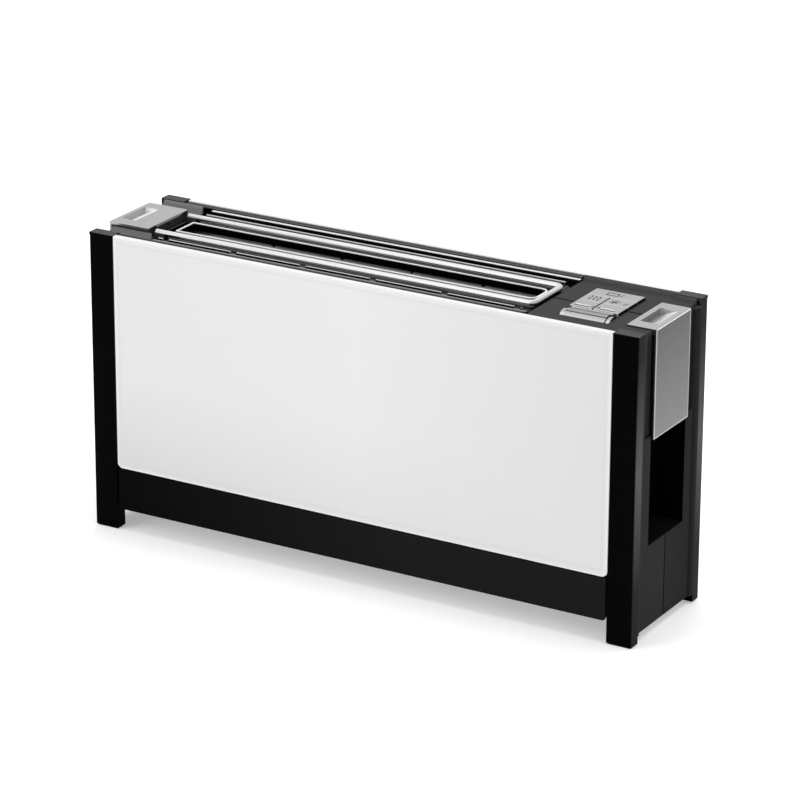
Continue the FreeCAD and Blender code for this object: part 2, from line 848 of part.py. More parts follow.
screws = []
for number, spot in enumerate(screw_places):
    head = six_sided("screw_head_%d" % number, "z", spot, d.screw_head - d.rod_fit, base_top,
                     base_top + d.screw_radius)
    shank = rod("screw_shank_%d" % number, "z", spot, d.screw_radius, d.band_bottom, base_top)
    screws.append(fuse("screw_%d" % number, [head, shank]))
keep("base_screws", group("base_screws", screws))

def rising(first, second):
    # The two places in rising order
    return sorted((first, second), key=lambda place: place.number)


pads = []
for end, face in ((left, front), (right, front), (left, rear), (right, rear)):
    xs = rising(from_end(end, d.foot_pad), from_end(end, d.post_width - d.foot_pad))
    ys = rising(from_face(face, d.foot_pad), from_face(face, d.foot_depth - d.foot_pad))
    pads.append(block("foot_pad_%d" % len(pads), xs, ys, (0, d.foot_pad)))
keep("foot_pads", group("foot_pads", pads))

reflector_y = half_depth - d.reflector_inset
wall_outline = [
    (-reflector_y, base_top), (reflector_y, base_top), (reflector_y, d.reflector_top),
    (d.deck_half, d.reflector_top), (d.deck_half, deck_bottom), (-d.deck_half, deck_bottom),
    (-d.deck_half, d.reflector_top), (-reflector_y, d.reflector_top),
]
rod_x = from_end(right, d.lift_rod_inset)
bush_half = d.lift_rod_radius + d.rod_fit + d.bush_wall
carriage_near = chamber_right + d.carriage_gap
carriage_far = rod_x + bush_half + d.bush_wall * 2
carriage_half = d.lift_rod_half + bush_half + d.bush_wall
arm_half = d.stem_slot / 2 - d.slide_gap

right_wall = new_body("right_chamber_wall")
prism(right_wall, "wall", "YZ_Plane", chamber_right - d.sheet_steel, chamber_right, wall_outline)
bracket = rectangle(chamber_right - d.sheet_steel, carriage_far, -carriage_half, carriage_half)
prism(right_wall, "bracket", "XY_Plane", d.bracket_height, d.bracket_height + d.sheet_steel, bracket)
arm_slot = rectangle(-d.stem_slot / 2, d.stem_slot / 2, d.support_height - d.lift_travel - d.slide_gap * 2,
                     d.support_height + d.support_sheet + d.slide_gap)
recess(right_wall, "arm_slot", "YZ_Plane", chamber_right - d.sheet_steel, chamber_right, arm_slot)
for side, label in ((front, "front"), (rear, "rear")):
    bore(right_wall, label + "_rod_hole", "XY_Plane", d.bracket_height, d.bracket_height + d.sheet_steel,
         (rod_x, side * d.lift_rod_half), d.lift_rod_radius + d.rod_fit)

layer_lever = from_end(left, d.left_channel + d.shell_wall + d.slide_gap)
layer_rack = layer_lever + d.tooth_layer + d.slide_gap * 2
rack_rod_x = layer_rack + d.tooth_layer / 2
tab_height = d.bracket_height + d.beam_depth
left_wall = new_body("left_chamber_wall")
prism(left_wall, "wall", "YZ_Plane", chamber_left, chamber_left + d.sheet_steel, wall_outline)
for side, label in ((front, "front"), (rear, "rear")):
    reach = d.rack_rod_radius * 2
    tab = rectangle(rack_rod_x - reach, chamber_left,
                    side * d.rack_rod_half - reach, side * d.rack_rod_half + reach)
    prism(left_wall, label + "_tab", "XY_Plane", tab_height, tab_height + d.sheet_steel, tab)
    bore(left_wall, label + "_rod_hole", "XY_Plane", tab_height, tab_height + d.sheet_steel,
         (rack_rod_x, side * d.rack_rod_half), d.rack_rod_radius + d.rod_fit)
bore(left_wall, "axle_hole", "YZ_Plane", chamber_left, chamber_left + d.sheet_steel, (0, d.pinion_height),
     d.pinion_axle + d.rod_fit)

inside_left = chamber_left + d.sheet_steel
inside_right = chamber_right - d.sheet_steel


def pair(face, near, far):
    # The two insets as Y, in rising order
    return sorted((from_face(face, near), from_face(face, far)), key=lambda y: y.number)


def reflector(name, face):
    body = new_body(name)
    sheet_outline = rectangle(inside_left, inside_right, d.chamber_floor, d.reflector_top)
    low, high = pair(face, d.reflector_inset, d.reflector_inset + d.deck_sheet)
    prism(body, "sheet", "XZ_Plane", low, high, sheet_outline)


def mica_board(name, face):
    ys = pair(face, d.mica_inset, d.mica_inset + d.mica_sheet)
    xs = (inside_left + d.fit_gap, inside_right - d.fit_gap)
    keep(name, block(name, xs, ys, (d.mica_bottom, d.mica_top)))


def strip_about(path, width):
    # The outline of a flat strip of this width about a path of square turns
    sides = ([], [])
    for place, point in enumerate(path):
        runs = []
        if place > 0:
            runs.append(point.sub(path[place - 1]).normalize())
        if place < len(path) - 1:
            runs.append(path[place + 1].sub(point).normalize())
        across = FreeCAD.Vector()
        for run in runs:
            across += axis_y.cross(run)
        sides[0].append(point + across * (width / 2))
        sides[1].insert(0, point - across * (width / 2))
    return sides[0] + sides[1]


def heating_ribbon(name, face):
    # A flat ribbon that runs up and down the inner side of its board
    width = d.ribbon_width.number
    turns = int(d.ribbon_turns.number)
    low = (inside_left + d.ribbon_margin).number
    high = (inside_right - d.ribbon_margin).number
    bottom = (d.mica_bottom + d.ribbon_width * 2).number
    top = (d.mica_top - d.ribbon_width * 2).number
    step = (high - low) / (2 * turns - 1)
    path = []
    for place in range(2 * turns):
        ends = (bottom, top) if place % 2 == 0 else (top, bottom)
        path += [FreeCAD.Vector(low + place * step, 0, z) for z in ends]
    points = strip_about(path, width)
    flat = Part.Face(Part.makePolygon(points + points[:1]))
    ribbon = doc.addObject("Part::Feature", name)
    ribbon.Shape = flat.extrude(FreeCAD.Vector(0, d.ribbon_sheet.number, 0))
    near = pair(face, d.mica_inset + d.mica_sheet, d.mica_inset + d.mica_sheet + d.ribbon_sheet)[0]
    ribbon.Placement = FreeCAD.Placement(FreeCAD.Vector(0, near.number, 0), FreeCAD.Rotation())
    keep(name, ribbon)


def bread_guard(name, face):
    # Upright square wires between two long ones keep the bread off the ribbon
    wire = d.guard_wire
    reach = inside_right - inside_left - d.guard_margin * 2
    ys = pair(face, d.guard_inset - wire, d.guard_inset + wire)
    wires = []
    for z in (d.mica_bottom + d.guard_margin, d.mica_top - d.guard_margin):
        wires.append(block(name + "_rail", (inside_left, inside_right), ys, (z - wire, z + wire)))
    count = int(d.guard_count.number)
    for place in range(count):
        x = inside_left + d.guard_margin + reach * (place / (count - 1))
        wires.append(block(name + "_wire", (x - wire, x + wire), ys, (d.mica_bottom, d.mica_top)))
    keep(name, fuse(name, wires))


for face, label in ((front, "front"), (rear, "rear")):
    reflector(label + "_reflector", face)
    mica_board(label + "_mica_board", face)
    heating_ribbon(label + "_heating_ribbon", face)
    bread_guard(label + "_bread_guard", face)

# The toast lift: support, carriage, bushes, rods, spring and magnet
support = new_body("bread_support")
support_low = d.support_height
support_high = d.support_height + d.support_sheet
support_left = inside_left + d.support_gap
support_right = inside_right - d.support_gap
support_outline = [
    (support_left, -d.support_half), (support_right, -d.support_half), (support_right, -arm_half),
    (carriage_near, -arm_half), (carriage_near, arm_half), (support_right, arm_half),
    (support_right, d.support_half), (support_left, d.support_half),
]
prism(support, "platform", "XY_Plane", support_low, support_high, support_outline)
window = d.support_half
window_span = support_right - support_left - window * 4
first = recess(support, "window", "XY_Plane", support_low, support_high,
               rectangle(support_left + window, support_left + window * 3, -d.window_half, d.window_half))
row_pattern(support, "windows", first, window_span, d.window_count)

carriage = new_body("lift_carriage")
carriage_top = d.carriage_bottom + d.carriage_height
sheet_steel = d.sheet_steel
profile = [
    (carriage_near, d.carriage_bottom), (carriage_far, d.carriage_bottom), (carriage_far, carriage_top),
    (carriage_near, carriage_top),
]
prism(carriage, "box", "XZ_Plane", -carriage_half, carriage_half, profile)
hollow = rectangle(carriage_near + sheet_steel, carriage_far - sheet_steel, d.carriage_bottom + sheet_steel,
                   carriage_top - sheet_steel)
recess(carriage, "hollow", "XZ_Plane", -carriage_half, carriage_half, hollow)
for side, label in ((front, "front"), (rear, "rear")):
    ys = sorted((side * carriage_half, side * (d.stem_slot + sheet_steel)), key=lambda y: y.number)
    gap = rectangle(ys[0], ys[1], d.carriage_bottom + sheet_steel, carriage_top - sheet_steel)
    recess(carriage, label + "_side", "YZ_Plane", carriage_far - sheet_steel, carriage_far, gap)
    recess(carriage, label + "_bush_hole", "XY_Plane", d.carriage_bottom, carriage_top,
           rectangle(rod_x - bush_half, rod_x + bush_half, side * d.lift_rod_half - bush_half,
                     side * d.lift_rod_half + bush_half))

bushes = []
rods = []
for side in (front, rear):
    spot = (rod_x, side * d.lift_rod_half)
    xs = (rod_x - bush_half, rod_x + bush_half)
    ys = (spot[1] - bush_half, spot[1] + bush_half)
    sleeve = block("bush_sleeve", xs, ys, (d.carriage_bottom, carriage_top))
    hole = rod("bush_bore", "z", spot, d.lift_rod_radius + d.rod_fit, d.carriage_bottom, carriage_top)
    bushes.append(cut("carriage_bush", sleeve, [hole]))
    rods.append(rod("lift_rod", "z", spot, d.lift_rod_radius, base_top, d.bracket_height + d.sheet_steel * 2))
keep("carriage_bushes", group("carriage_bushes", bushes))
keep("lift_guide_rods", group("lift_guide_rods", rods))

spring_low = carriage_top + d.fit_gap
spring_inner = d.spring_radius - d.spring_wall
spring_tube = rod("spring_tube", "z", (rod_x, 0), d.spring_radius, spring_low, d.bracket_height)
spring_hole = rod("spring_bore", "z", (rod_x, 0), spring_inner, spring_low, d.bracket_height)
keep("lift_spring", cut("lift_spring", spring_tube, [spring_hole]))

armature_low = d.carriage_bottom - d.armature_sheet
armature_x = (carriage_near + sheet_steel, carriage_far - sheet_steel)
armature_y = (-d.armature_half, d.armature_half)
keep("latch_armature", block("latch_armature", armature_x, armature_y, (armature_low, d.carriage_bottom)))

core_top = armature_low - d.lift_travel - d.fit_gap
core_x = (rod_x - d.core_leg, rod_x + d.core_leg)
core = new_body("solenoid_core")
leg = d.core_leg / 2
core_points = [
    (-d.armature_half, base_top), (d.armature_half, base_top), (d.armature_half, core_top),
    (d.armature_half - leg, core_top), (d.armature_half - leg, base_top + d.core_leg),
    (leg, base_top + d.core_leg), (leg, core_top), (-leg, core_top), (-leg, base_top + d.core_leg),
    (leg - d.armature_half, base_top + d.core_leg), (leg - d.armature_half, core_top),
    (-d.armature_half, core_top),
]
prism(core, "e_core", "YZ_Plane", core_x[0], core_x[1], core_points)
coil_z = (base_top + d.core_leg + d.fit_gap, core_top - d.core_leg / 2)
coil_y = d.armature_half - leg - d.fit_gap
winding = block("winding", (core_x[0] - leg, core_x[1] + leg), (-coil_y, coil_y), coil_z)
core_hole = block("core_hole", (core_x[0] - d.fit_gap, core_x[1] + d.fit_gap),
                  (-leg - d.fit_gap, leg + d.fit_gap), coil_z)
keep("solenoid_coil", cut("solenoid_coil", winding, [core_hole]))


# Levers: a black carrier in the channel under a bright cap and end plate
def lever_cap(name, end, channel, cap_top, recess_near, recess_far):
    # The finger recess is deepest at its far wall and runs out at the near one
    body = new_body(name)
    reach = channel - d.slide_gap * 2
    half = d.channel_half - d.slide_gap
    skin = d.lever_sheet / 2
    xs = sorted((from_end(end, 0), from_end(end, d.lever_sheet)), key=lambda x: x.number)
    prism(body, "end_plate", "YZ_Plane", xs[0], xs[1], rectangle(-half, half, d.plate_bottom, cap_top))
    top = rectangle(from_end(end, 0), from_end(end, reach), -half, half)
    prism(body, "cap", "XY_Plane", cap_top - d.cap_sheet, cap_top, top)
    ends = sorted((recess_near, recess_far), key=lambda inset: inset.number)
    pan = [
        (from_end(end, ends[0] - skin), cap_top - d.cap_sheet),
        (from_end(end, ends[1] + skin), cap_top - d.cap_sheet),
        (from_end(end, recess_far - skin if recess_far.number < recess_near.number else recess_far + skin),
         cap_top - d.recess_depth - skin),
    ]
    prism(body, "pan", "XZ_Plane", -d.recess_half - skin, d.recess_half + skin, pan)
    wedge = [
        (from_end(end, recess_near), cap_top), (from_end(end, recess_far), cap_top),
        (from_end(end, recess_far), cap_top - d.recess_depth),
    ]
    recess(body, "finger_recess", "XZ_Plane", -d.recess_half, d.recess_half, wedge)
    return reach


def lever_carrier(name, end, reach, cap_top, ends):
    body = new_body(name)
    half = d.channel_half - d.slide_gap * 2
    wall = d.shell_wall
    top = cap_top - d.cap_sheet
    near = d.lever_sheet
    far = reach - d.slide_gap
    prism(body, "carrier", "XY_Plane", d.lever_bottom, top,
          rectangle(from_end(end, near), from_end(end, far), -half, half))
    inside = rectangle(from_end(end, near + wall), from_end(end, far - wall), wall - half, half - wall)
    roof = cap_top - d.recess_depth - wall * 2
    recess(body, "hollow", "XY_Plane", d.lever_bottom, roof, inside)
    low, high = sorted(ends, key=lambda inset: inset.number)
    gap = d.lever_sheet / 2 + d.fit_gap
    pocket = rectangle(from_end(end, low - gap), from_end(end, high + gap),
                       -d.recess_half - gap, d.recess_half + gap)
    recess(body, "pan_pocket", "XY_Plane", cap_top - d.recess_depth - wall / 2, top, pocket)
    return body, far


toast_near = d.recess_margin
toast_far = d.recess_margin + d.toast_recess_length
toast_reach = lever_cap("toast_lever_cap", right, d.right_channel, d.toast_cap_top, toast_near, toast_far)
toast_lever, far = lever_carrier("toast_lever", right, toast_reach, d.toast_cap_top, (toast_near, toast_far))
prism(toast_lever, "stem", "XZ_Plane", -arm_half, arm_half,
      rectangle(carriage_far, from_end(right, far), d.stem_height, d.stem_height + d.stem_depth))

rack_far = d.recess_margin
rack_near = d.recess_margin + d.rack_recess_length
rack_reach = lever_cap("rack_lever_cap", left, d.left_channel, d.rack_cap_top, rack_near, rack_far)
rack_lever, far = lever_carrier("rack_lever", left, rack_reach, d.rack_cap_top, (rack_near, rack_far))
prism(rack_lever, "web", "YZ_Plane", from_end(left, far), layer_lever,
      rectangle(bar_back_y, bar_root_y, web_bottom, web_top))

# The two toothed bars and the stepped pinion between them
tooth_pitch = d.gear_module * math.pi
pressure = math.radians(d.pressure_angle.number)
tooth_slope = math.tan(pressure)


def toothed_bar(body, side, pitch_y, layer, low, high, tooth_low, count):
    # A straight bar with teeth towards the pinion; side is the bar's side of it
    root = pitch_y + side * (d.gear_addendum + d.gear_clearance)
    tip = pitch_y - side * d.gear_addendum
    back = rectangle(root, root + side * d.bar_back, low, high)
    prism(body, "bar", "YZ_Plane", layer, layer + d.tooth_layer, back)
    half = tooth_pitch / 4 - d.gear_backlash / 4
    wide = half + (d.gear_addendum + d.gear_clearance) * tooth_slope
    thin = half - d.gear_addendum * tooth_slope
    tooth = [
        (root, tooth_low - wide), (root, tooth_low + wide), (tip, tooth_low + thin), (tip, tooth_low - thin),
    ]
    first = prism(body, "tooth", "YZ_Plane", layer, layer + d.tooth_layer, tooth)
    pattern = body.newObject("PartDesign::LinearPattern", "teeth")
    pattern.Originals = [first]
    axis = [thing for thing in body.Origin.OriginFeatures if thing.Role == "Z_Axis"][0]
    pattern.Direction = (axis, [""])
    bind(pattern, "Length", tooth_pitch * (count - 1))
    bind(pattern, "Occurrences", count)
    body.Tip = pattern


def whole_teeth(travel):
    # Teeth that cover a travel, with a pair in mesh at either end
    turns_of_pitch = travel / tooth_pitch
    whole = Length("floor(%s)" % turns_of_pitch.formula, float(int(turns_of_pitch.number)))
    return whole + d.spare_teeth


rack_travel = d.lift_travel * d.rack_teeth / d.lever_teeth
rack_pitch_y = d.gear_module * d.rack_teeth / 2
rack_root_y = rack_pitch_y + d.gear_addendum + d.gear_clearance
spare = d.spare_teeth / 2
bar_low = d.pinion_height - tooth_pitch * spare
bar_high = d.pinion_height + d.lift_travel + tooth_pitch * spare
toothed_bar(rack_lever, front, bar_pitch_y, layer_lever, bar_low, bar_high, bar_low + tooth_pitch / 2,
            whole_teeth(d.lift_travel))


def gear_outline(teeth, first_angle):
    # One involute gear as points about the origin, a tooth at the first angle
    module = d.gear_module.number
    pitch_radius = module * teeth / 2
    base_radius = pitch_radius * math.cos(pressure)
    tip_radius = pitch_radius + d.gear_addendum.number
    root_radius = pitch_radius - d.gear_addendum.number - d.gear_clearance.number
    half_angle = (module * math.pi / 2 - d.gear_backlash.number / 2) / (2 * pitch_radius)
    opening = math.tan(pressure) - pressure
    flank = []
    steps = int(d.flank_points.number)
    for place in range(steps):
        radius = max(base_radius, root_radius)
        radius += (tip_radius - radius) * place / (steps - 1)
        roll = math.acos(min(base_radius / radius, 1))
        flank.append((radius, half_angle + opening - (math.tan(roll) - roll)))
    if root_radius < base_radius:
        flank.insert(0, (root_radius, flank[0][1]))
    points = []
    for tooth in range(teeth):
        middle = first_angle + tooth * 2 * math.pi / teeth
        points += [(radius, middle - angle) for radius, angle in flank]
        points += [(radius, middle + angle) for radius, angle in reversed(flank)]
    return [FreeCAD.Vector(0, r * math.cos(a), r * math.sin(a)) for r, a in points]


def gear_layer(teeth, first_angle, thickness):
    points = gear_outline(teeth, first_angle)
    return Part.Face(Part.makePolygon(points + points[:1])).extrude(FreeCAD.Vector(thickness, 0, 0))


layer = d.tooth_layer.number
hub_gap = d.slide_gap.number * 2
large = gear_layer(int(d.lever_teeth.number), math.pi, layer)
small = gear_layer(int(d.rack_teeth.number), 0, layer + hub_gap)
small.translate(FreeCAD.Vector(layer, 0, 0))
drilled = Part.makeCylinder((d.pinion_axle + d.rod_fit).number, layer * 2 + hub_gap, FreeCAD.Vector(), axis_x)
pinion = doc.addObject("Part::Feature", "lift_pinion")
pinion.Shape = large.fuse(small).cut(drilled)
pinion_place = FreeCAD.Vector(layer_lever.number, 0, d.pinion_height.number)
pinion.Placement = FreeCAD.Placement(pinion_place, FreeCAD.Rotation())
keep("lift_pinion", pinion)
keep("pinion_axle", rod("pinion_axle", "x", (0, d.pinion_height), d.pinion_axle,
                        from_end(left, d.left_channel), chamber_left + d.sheet_steel))

# The bun rack: one bent wire on a carrier that the pinion lifts
rack_carrier = new_body("rack_carrier")
beam_half = d.rack_rod_half + d.rack_rod_radius * 2
leg_half = d.leg_width / 2
holder_low = d.wire_height - d.wire_radius - d.leg_width
rack_layer = (layer_rack, layer_rack + d.tooth_layer)
beam_top = d.beam_bottom + d.beam_depth
prism(rack_carrier, "beam", "YZ_Plane", rack_layer[0], rack_layer[1],
      rectangle(-beam_half, beam_half, d.beam_bottom, beam_top))
rack_teeth_count = whole_teeth(rack_travel)
rack_low = d.pinion_height - tooth_pitch * (rack_teeth_count - spare)
toothed_bar(rack_carrier, rear, rack_pitch_y, layer_rack, rack_low, d.beam_bottom, rack_low + tooth_pitch / 2,
            rack_teeth_count)
holder_far = chamber_left - d.slide_gap * 2
for side, label in ((front, "front"), (rear, "rear")):
    ys = (side * d.rack_half - leg_half, side * d.rack_half + leg_half)
    prism(rack_carrier, label + "_leg", "YZ_Plane", rack_layer[0], rack_layer[1],
          rectangle(ys[0], ys[1], beam_top, holder_low))
    holder = [
        (rack_layer[0], holder_low), (holder_far, holder_low), (holder_far, d.wire_height),
        (layer_lever, d.wire_height), (layer_lever, holder_low + d.leg_width / 2),
    ]
    prism(rack_carrier, label + "_holder", "XZ_Plane", ys[0], ys[1], holder)
    bore(rack_carrier, label + "_cradle", "YZ_Plane", layer_lever, holder_far,
         (side * d.rack_half, d.wire_height), d.wire_radius)
    bore(rack_carrier, label + "_rod_hole", "XY_Plane", d.beam_bottom, beam_top,
         (rack_rod_x, side * d.rack_rod_half), d.rack_rod_radius + d.rod_fit)
rack_rods = [
    rod("rack_rod", "z", (rack_rod_x, side * d.rack_rod_half), d.rack_rod_radius, base_top, tab_height
        + d.sheet_steel * 2)
    for side in (front, rear)
]
keep("rack_guide_rods", group("rack_guide_rods", rack_rods))

bun_rack = new_body("bun_rack")
wire_left = from_end(left, d.rack_left)
wire_right = from_end(right, d.rack_right)
side = d.rack_half
bend = d.rack_corner
path = bun_rack.newObject("Sketcher::SketchObject", "wire_path")
path.AttachmentSupport = [(origin_plane(bun_rack, "XY_Plane"), "")]
path.MapMode = "FlatFace"
bind(path, "AttachmentOffset.Base.z", d.wire_height)
runs = [
    (wire_left, -side, wire_right - bend, -side), (wire_right, bend - side, wire_right, side - bend),
    (wire_right - bend, side, wire_left, side),
]
for run in runs:
    numbers = [as_length(value).number for value in run]
    start = FreeCAD.Vector(numbers[0], numbers[1], 0)
    end = FreeCAD.Vector(numbers[2], numbers[3], 0)
    path.addGeometry(Part.LineSegment(start, end), False)
for place, run in enumerate(runs):
    for spot, value, kind in (
            (1, 0, "DistanceX"), (1, 1, "DistanceY"), (2, 2, "DistanceX"), (2, 3, "DistanceY")):
        at = path.addConstraint(Sketcher.Constraint(kind, -1, 1, place, spot, as_length(run[value]).number))
        bind(path, "Constraints[%d]" % at, run[value])
for place, sign in ((0, -1), (1, 1)):
    middle = FreeCAD.Vector((wire_right - bend).number, sign * (side - bend).number, 0)
    begin = math.pi * 1.5 if sign < 0 else 0
    circle_shape = Part.Circle(middle, FreeCAD.Vector(0, 0, 1), bend.number)
    arc = path.addGeometry(Part.ArcOfCircle(circle_shape, begin, begin + math.pi / 2), False)
    path.addConstraint([
        Sketcher.Constraint("Coincident", place, 2, arc, 1),
        Sketcher.Constraint("Coincident", arc, 2, place + 1, 1),
    ])
    at = path.addConstraint(Sketcher.Constraint("Radius", arc, bend.number))
    bind(path, "Constraints[%d]" % at, bend)
section = circle(bun_rack, "wire_section", "YZ_Plane", wire_left, (-side, d.wire_height), d.wire_radius)
wire = bun_rack.newObject("PartDesign::AdditivePipe", "wire")
wire.Profile = section
wire.Spine = path
bun_rack.Tip = wire

# The keypad: frame, five keys, thumb roller, its sensor, board and switches
key_left = from_end(right, d.keypad_left)
key_right = from_end(right, d.keypad_right)
frame_low = panel_bottom - d.frame_sheet
switch_top = d.board_height + d.board_sheet + d.switch_body
stem_low = switch_top + d.key_travel + d.fit_gap
stem_half = d.key_stem / 2
slit = d.keypad_slit / 2
split = from_end(right, d.key_column)
key_places = {
    "strip_key": (key_left, key_right, d.key_strip, d.keypad_half),
    "front_left_key": (key_left, split, d.key_front, d.key_row),
    "front_right_key": (split, key_right, d.key_front, d.key_row),
    "rear_left_key": (key_left, split, d.key_row, d.key_strip),
    "rear_right_key": (split, key_right, d.key_row, d.key_strip),
}
stem_holes = []
switches = []
for name, (x_low, x_high, y_low, y_high) in key_places.items():
    key = new_body(name)
    prism(key, "cap", "XY_Plane", d.key_top - d.key_sheet, d.key_top,
          rectangle(x_low + slit, x_high - slit, y_low + slit, y_high - slit))
    rounded(key, "cap_edges", slit * 2, lambda edge: not along(edge, axis_z)
            and abs(edge.Vertexes[0].Point.z - d.key_top.number) < 1e-6)
    x = (x_low + x_high) / 2
    y = (y_low + y_high) / 2
    prism(key, "stem", "XY_Plane", stem_low, d.key_top - d.key_sheet,
          rectangle(x - stem_half, x + stem_half, y - stem_half, y + stem_half))
    play = stem_half + d.slide_gap
    stem_holes.append(rectangle(x - play, x + play, y - play, y + play))
    switches.append(block("switch", (x - stem_half, x + stem_half), (y - stem_half, y + stem_half),
                          (d.board_height + d.board_sheet, switch_top)))
keep("key_switches", group("key_switches", switches))

roller_y = -d.roller_place
cheek_left = key_left + d.cheek
cheek_right = key_right - d.cheek
cheek_round = d.roller_radius - d.cheek_step
key_frame = new_body("key_frame")
frame_half = d.keypad_half + d.frame_lap
prism(key_frame, "plate", "XY_Plane", frame_low, panel_bottom,
      rectangle(key_left - d.frame_lap, key_right + d.frame_lap, -frame_half, frame_half))
for number, hole in enumerate(stem_holes):
    recess(key_frame, "stem_hole_%d" % number, "XY_Plane", frame_low, panel_bottom, hole)
play = d.roller_radius + d.slide_gap
recess(key_frame, "roller_hole", "XY_Plane", frame_low, panel_bottom,
       rectangle(cheek_left, cheek_right, -frame_half, roller_y + play))
sensor_radius = panel_bottom - d.roller_height - d.fit_gap
recess(key_frame, "sensor_notch", "XY_Plane", frame_low, panel_bottom,
       rectangle(key_left - d.frame_lap, key_left, roller_y - sensor_radius - d.fit_gap,
                 roller_y + sensor_radius + d.fit_gap))
for label, x_low, x_high in (("left", key_left, cheek_left), ("right", cheek_right, key_right)):
    disc = [
        (roller_y - cheek_round, frame_low - d.cheek * 2), (roller_y + cheek_round, frame_low - d.cheek * 2),
        (roller_y + cheek_round, d.roller_height, cheek_round),
        (roller_y, d.roller_height + cheek_round, cheek_round), (roller_y - cheek_round, d.roller_height),
    ]
    prism(key_frame, label + "_cheek", "YZ_Plane", x_low, x_high, disc)
    bore(key_frame, label + "_axle_hole", "YZ_Plane", x_low, x_high, (roller_y, d.roller_height),
         d.roller_axle + d.rod_fit)

flutes = int(d.roller_flutes.number)
roller_points = []
for flute in range(flutes * 2):
    depth = 0 if flute % 2 == 0 else d.flute_depth.number
    for offset in (-d.flute_land.number / 2, d.flute_land.number / 2):
        angle = math.pi * (flute + offset) / flutes
        radius = d.roller_radius.number - depth
        roller_points.append(FreeCAD.Vector(0, radius * math.cos(angle), radius * math.sin(angle)))
roller_low = (cheek_left + d.fit_gap).number
roller_length = (cheek_right - cheek_left - d.fit_gap * 2).number
drum = Part.Face(Part.makePolygon(roller_points + roller_points[:1])).extrude(axis_x * roller_length)
axle_start = FreeCAD.Vector(key_left.number - roller_low, 0, 0)
axle = Part.makeCylinder(d.roller_axle.number, (key_right - key_left).number, axle_start, axis_x)
roller = doc.addObject("Part::Feature", "browning_roller")
roller.Shape = drum.fuse(axle)
roller_centre = FreeCAD.Vector(roller_low, roller_y.number, d.roller_height.number)
roller.Placement = FreeCAD.Placement(roller_centre, FreeCAD.Rotation())
keep("browning_roller", roller)

keep("browning_sensor", rod("browning_sensor", "x", (roller_y, d.roller_height), sensor_radius,
                            key_left - d.cheek * 2, key_left - d.fit_gap))
board_front = roller_y + d.roller_radius + d.cheek
board = new_body("control_board")
board_side = d.board_margin + d.shell_wall
prism(board, "board", "XY_Plane", d.board_height, d.board_height + d.board_sheet,
      rectangle(key_left - board_side, key_right + board_side, board_front, d.keypad_half + d.cheek / 2))

# The crumb tray slides out at the rear; the gland takes the supply cord
tray = new_body("crumb_tray")
tray_rear = half_depth
tray_near = d.tray_front - half_depth
prism(tray, "tray", "XY_Plane", tray_bottom, tray_bottom + d.tray_height,
      rectangle(-d.tray_half, d.tray_half, tray_near, tray_rear))
recess(tray, "inside", "XY_Plane", tray_bottom + d.tray_wall, tray_bottom + d.tray_height,
       rectangle(d.tray_wall - d.tray_half, d.tray_half - d.tray_wall, tray_near + d.tray_wall,
                 tray_rear - d.shell_wall))
prism(tray, "lip", "XZ_Plane", tray_rear - d.shell_wall, tray_rear,
      rectangle(-d.tray_half, d.tray_half, tray_bottom, tray_bottom + d.tray_lip))

gland_ys = (half_depth - d.gland_length, half_depth)
collar = rod("gland_collar", "y", (-d.gland_place, d.gland_height), d.gland_radius, gland_ys[0], gland_ys[1])
passage = rod("gland_passage", "y", (-d.gland_place, d.gland_height), d.gland_bore, gland_ys[0], gland_ys[1])
keep("cord_gland", cut("cord_gland", collar, [passage]))


# Every feature is tested before anything is written
doc.recompute()
for thing in doc.Objects:
    if "Invalid" in thing.State or "Error" in thing.State:
        raise ValueError("failed feature: " + thing.Name + " of " + str([p.Name for p in thing.InList]))
for pocket, base in cuts:
    if pocket.Shape.Volume >= base.Shape.Volume:
        raise ValueError("a cut removed nothing: " + pocket.Label)
for name, thing in parts.items():
    if thing.Shape.isNull() or not thing.Shape.isValid():
        raise ValueError("unsound shape: " + name)
os.makedirs("parts", exist_ok=True)
for name, thing in parts.items():
    thing.Shape.exportStep("parts/" + name + ".step")
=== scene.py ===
import json
import math
import bpy
from mathutils import Matrix, Vector


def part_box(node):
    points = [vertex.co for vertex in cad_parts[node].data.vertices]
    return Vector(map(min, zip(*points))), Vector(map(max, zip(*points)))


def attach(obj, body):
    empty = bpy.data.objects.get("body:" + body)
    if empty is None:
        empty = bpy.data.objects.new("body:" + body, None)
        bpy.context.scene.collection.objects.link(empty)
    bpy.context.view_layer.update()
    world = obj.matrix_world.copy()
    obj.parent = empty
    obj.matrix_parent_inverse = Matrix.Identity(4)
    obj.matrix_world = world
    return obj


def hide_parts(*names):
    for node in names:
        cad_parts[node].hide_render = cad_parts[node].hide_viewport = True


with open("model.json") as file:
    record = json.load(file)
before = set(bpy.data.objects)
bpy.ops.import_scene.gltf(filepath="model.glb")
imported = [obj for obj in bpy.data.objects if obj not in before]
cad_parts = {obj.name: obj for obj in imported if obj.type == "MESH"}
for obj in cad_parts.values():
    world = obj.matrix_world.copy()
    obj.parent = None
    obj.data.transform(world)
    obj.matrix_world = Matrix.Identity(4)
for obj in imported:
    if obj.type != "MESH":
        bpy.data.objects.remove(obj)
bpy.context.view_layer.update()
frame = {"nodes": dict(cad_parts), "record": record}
nodes = frame["nodes"]
bodyOf = {node: body for body, members in frame["record"]["behaviour"]["bodies"].items() for node in members}
slotOf = {part["node"]: part["material_slot"] for part in frame["record"]["subparts"]}
mm = 0.001
print("frame loaded,", len(nodes), "nodes")


